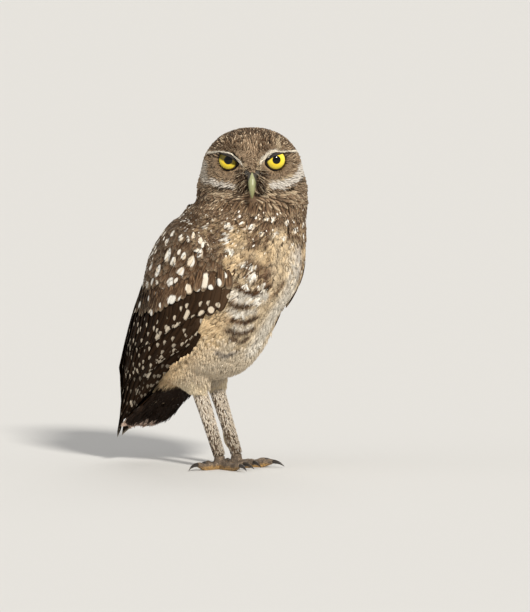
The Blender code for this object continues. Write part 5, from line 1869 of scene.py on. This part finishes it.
TAIL_OUTLINE = ((0, 0.5), (0.3, 0.9), (0.6, 1.0), (0.85, 0.95), (0.95, 0.7), (0.99, 0.3), (1, 0))
tail_shape = feather_shape(TAIL_OUTLINE, columns=4)
out = np.linspace(-1, 1, TAIL_FEATHERS)
length = TAIL_LENGTH_MM * (1 - TAIL_STEPPING * out**2)
u = np.linspace(0, 1, 8)
back = (1 - u[None]) * length[:, None]
turn = out[:, None] * TAIL_FAN
aside = out[:, None] * TAIL_SPREAD_MM + np.sin(turn) * (u[None] - 0.5) * length[:, None]
level = 1.0 - 2.6 * np.abs(out)[:, None] - 0.4 * out[:, None] ** 2 * u[None]
reach = 1.8 - (back + TAIL_LENGTH_MM * TAIL_STEPPING * out[:, None] ** 2)
path = TAIL_TIP + MM * (reach[..., None] * TAIL_RUN + level[..., None] * TAIL_UP)
path[..., 0] += aside * MM
normal = np.broadcast_to(TAIL_UP, path.shape)
looks = plain_looks(painted_tail, TAIL_HALF_MM, length, third=15.0)
tail_finish = flight_finish("tail_feathers", rows=0.16, warm=0.35, tip_from=0.93, tip_tone=PINKISH_BUFF)
places = unwrap_trunk(*chart_of(path[:, 4]))
grow("tail_feathers", tail_shape, path, normal, TAIL_HALF_MM, looks, places, tail_finish, 0.0, 0.0, 0.1)

# Thighs, flanks and vent
# Loose downy tufts of fine barbs, buff and cream, that hide where belly, thighs and tail meet. Each tuft
# is rooted on the flesh and lies along it, down the thighs or back towards the tail.

RUSTY_BUFF = (0.66, 0.40, 0.19)
THIGH_CREAM = (0.97, 0.85, 0.63)
THIGH_TOP = 100 * MM
flesh_tree, _ = tree_of(FLESH + SHANKS)


def downward(points, normals):
    """Down the trunk and the thighs, a little backwards."""
    return np.tile((0.0, 0.35, -1.0), (len(points), 1))


def thigh_kept(points, normals):
    return (normals[:, 2] < 0.75) & (points[:, 2] < THIGH_TOP)


roots, _ = scattered(("thigh_right", "thigh_left"), 1.35 * MM, thigh_kept, 30000)
count = len(roots)
high_up = ramp(roots[:, 2], 0.050, 0.064)
length = draw.uniform(7.5, 13.0, count) * (0.45 + 0.55 * high_up)
path, normal = traced(flesh_tree, roots, length * MM, downward)
path = fitted(path)
half = draw.uniform(1.0, 2.2, count)
buff_share = ramp(roots[:, 1], -0.004, 0.012) * ramp(roots[:, 2], 0.052, 0.066)
ground = toward(np.tile(np.array(THIGH_CREAM), (count, 1)), RUSTY_BUFF, 0.1 + 0.75 * buff_share)
looks = plain_looks(ground * draw.uniform(0.85, 1.08, (count, 1)), half, length)
rise = draw.uniform(0.6, 2.4, count) * (0.3 + 0.7 * high_up)
places = unwrap_trunk(*chart_of(roots))
grow("thigh_down", down_tuft, path, normal, half, looks, places, down_finish, 0.5, rise, 0.1)

# Loose tufts hang over the lower edge of belly and flanks and hide where the thighs begin.
FRINGE_FOOT = 58 * MM
FRINGE_SIDES = 1.9


def fringe_kept(points, normals):
    t, angle = chart_of(points)
    low = (wing_share(t, angle) < 0.03) & (points[:, 2] > FRINGE_FOOT) & (np.abs(angle) < FRINGE_SIDES)
    return low & (draw.random(len(t)) < ramp(t, 3.5, 4.9))


def hanging(points, normals):
    return np.tile((0.0, 0.2, -1.0), (len(points), 1)) + 0.25 * normals * (1, 1, 0)


roots, _ = scattered(("torso",), 1.5 * MM, fringe_kept, 30000)
t, angle = chart_of(roots)
count = len(roots)
length = draw.uniform(8.0, 13.5, count) * (1 - 0.45 * ramp(angle, 0.1, 0.5))
path, normal = traced(flesh_tree, roots, length * MM, hanging, free=2.0 * MM)
path = fitted(path)
half = draw.uniform(1.0, 2.0, count)


def painted_fringe(points):
    t, angle = chart_of(points)
    colours = trunk_plumage(t, np.clip(angle, -1.3, 1.3))
    colours = toward(colours, WHITE, 0.3 * ramp(np.abs(angle), 1.1, 0.6))
    return toward(colours, RUSTY_BUFF, 0.3 * ramp(np.abs(np.degrees(angle)), 48, 75))


looks = plain_looks(painted_fringe, half, length)
rise = 1.3 * ramp(t, 3.8, 5.0) - 0.2
sink = 2.4 - 1.8 * ramp(t, 3.6, 4.9)
places = unwrap_trunk(t, angle)
grow("belly_fringe", down_tuft, path, normal, half, looks, places, down_finish, sink, rise, 0.1)

# The flanks and the vent behind the thighs, cream above and nearly black below a line that rises towards
# the tail. The black is painted shade under the wing's edge and the tail. The line is a place on it, back
# from the middle and up, and its slope.
SHADOW_LINE_BACK_MM = 8.5
SHADOW_LINE_UP_MM = 50.0
SHADOW_LINE_SLOPE = 0.6
UNDERTAIL = 34 * MM


def vent_kept(points, normals):
    t, angle = chart_of(points)
    behind = (t > 4.5) & (np.abs(np.degrees(angle)) < 150) & (points[:, 2] < 90 * MM)
    depth = np.linalg.norm(on_hull(t, angle) - points, axis=1)
    under_wing = (wing_share(t, angle) > 0) & (depth < 4.5 * MM)
    return behind & (normals[:, 2] < 0.8) & ~under_wing


def along_tail(points, normals):
    return np.tile(TAIL_RUN, (len(points), 1))


roots, _ = scattered(("torso", "tail"), 2.0 * MM, vent_kept, 40000)
count = len(roots)
back, up = roots[:, 1] / MM, roots[:, 2] / MM
dark = ramp(SHADOW_LINE_UP_MM + SHADOW_LINE_SLOPE * (back - SHADOW_LINE_BACK_MM) - up, -3, 2) * ramp(back, 0, 6)
length = draw.uniform(9.0, 13.0, count)
path, normal = traced(flesh_tree, roots, length * MM, along_tail)
path = fitted(path)
half = draw.uniform(1.6, 2.4, count)
ground = toward(np.tile(np.array(PALE_BUFF), (count, 1)), RUSTY_BUFF, 0.5 * draw.random(count))
# Painted shade: the tufts below the line turn nearly black.
ground = toward(ground, UNDERSIDE_SHADE_BLACK, dark)
looks = plain_looks(np.where((roots[:, 2] < UNDERTAIL)[:, None], painted_tail(roots), ground), half, length)
rise = 0.7 - 0.6 * dark
places = unwrap_trunk(*chart_of(roots))
grow("vent_down", down_tuft, path, normal, half, looks, places, down_finish, 0.5, rise, 0.1)

# Shanks
# Long bare-looking shanks clad in short stiff feathers, cream with dark flecks. The feathers lie down
# the shank, close to it, and more of them are dark just above the toes and, as painted shade, on the
# side turned from the key light.

leg_tree, _ = tree_of(SHANKS)


def down_shank(points, normals):
    return np.tile((0.0, -0.39, -0.92), (len(points), 1))


def shank_kept(points, normals):
    return np.abs(normals[:, 2]) < 0.8


# More feathers are dark low down on each shank. More are dark too on the side of each shank that faces
# backwards and to the right, as painted shade on the side turned from the key light.
LEG_PALE = (0.66, 0.56, 0.44)
LEG_DARK = (0.13, 0.09, 0.06)
SHADED_WAY = math.radians(132)
shaded_side = np.array((math.cos(SHADED_WAY), math.sin(SHADED_WAY), 0.0))
roots, _ = scattered(SHANKS, 0.8 * MM, shank_kept, 24000)
count = len(roots)
length = draw.uniform(2.2, 3.6, count)
path, normal = traced(leg_tree, roots, length * MM, down_shank)
half = draw.uniform(0.32, 0.55, count)
low_down = ramp(roots[:, 2], 0.036, 0.008)
darker = ramp(normal[:, 0] @ shaded_side, 0.2, 0.8)
dark = draw.random(count) < 0.04 + 0.3 * low_down + 0.3 * darker + 0.07 * (roots[:, 0] > 0)
ground = toward(np.tile(np.array(LEG_PALE), (count, 1)), WHITE, draw.random(count) * 0.5 * (1 - low_down))
ground = np.where(dark[:, None], LEG_DARK, ground * (1 - 0.3 * low_down[:, None]))
looks = plain_looks(ground, half, length)
places = unwrap_trunk(*chart_of(roots))
grow("shank_feathers", small_shape, path, normal, half, looks, places, down_finish, 0.3, 0.7, 0.1)

# Feet and claws
# Scaly grey-brown toes, three forward and one back, each with a curved black claw. Foot and claws are
# remeshed from their solids as fine smooth surfaces.

TOE_VOXEL = 0.34 * MM
CLAW_VOXEL = 0.2 * MM
TOE_BROWN = (0.27, 0.20, 0.135)
TOE_GRIME = (0.11, 0.08, 0.055)
TOE_CREASE = (0.07, 0.05, 0.035)
OCHRE = (0.46, 0.27, 0.09)
CLAW_BLACK = (0.012, 0.010, 0.009)
CLAW_BROWN = (0.05, 0.038, 0.028)
toe_finish, shader, wire = material("toe_scales", roughness=0.62, specular=0.4)
place = wire.node("ShaderNodeTexCoord", (), (), "Object")
scales = wire.node("ShaderNodeTexVoronoi", {"feature": "DISTANCE_TO_EDGE"}, {"Vector": place, "Scale": 850.0})
grime = wire.node("ShaderNodeTexNoise", (), {"Vector": place, "Scale": 260.0, "Detail": 4.0})
tone = grime.ramp(0.3, 0.65).blend(TOE_BROWN, TOE_GRIME)
above_sole = place.parts()[2] / MM + grime * 3.0
tone = (1 - above_sole.ramp(3.0, 5.0)).blend(tone, OCHRE)
link((1 - scales.ramp(0.0, 0.14)).blend(tone, TOE_CREASE), shader, "Base Color")
bump(wire, shader, scales.ramp(0.0, 0.2), strength=0.7, distance=0.3 * MM)
for side in ("right", "left"):
    refined(f"foot_scaled_{side}", (f"foot_{side}",), TOE_VOXEL, 3, toe_finish)

claw_finish, shader, wire = material("claw_horn", roughness=0.28, specular=0.5)
place = wire.node("ShaderNodeTexCoord", (), (), "Object")
grain = wire.node("ShaderNodeTexNoise", (), {"Vector": place, "Scale": 600.0, "Detail": 2.0})
link((grain * 0.8).blend(CLAW_BLACK, CLAW_BROWN), shader, "Base Color")
for side in ("right", "left"):
    for toe in ("inner", "middle", "outer", "hind"):
        refined(f"talon_{side}_{toe}", (f"claw_{side}_{toe}",), CLAW_VOXEL, 2, claw_finish)
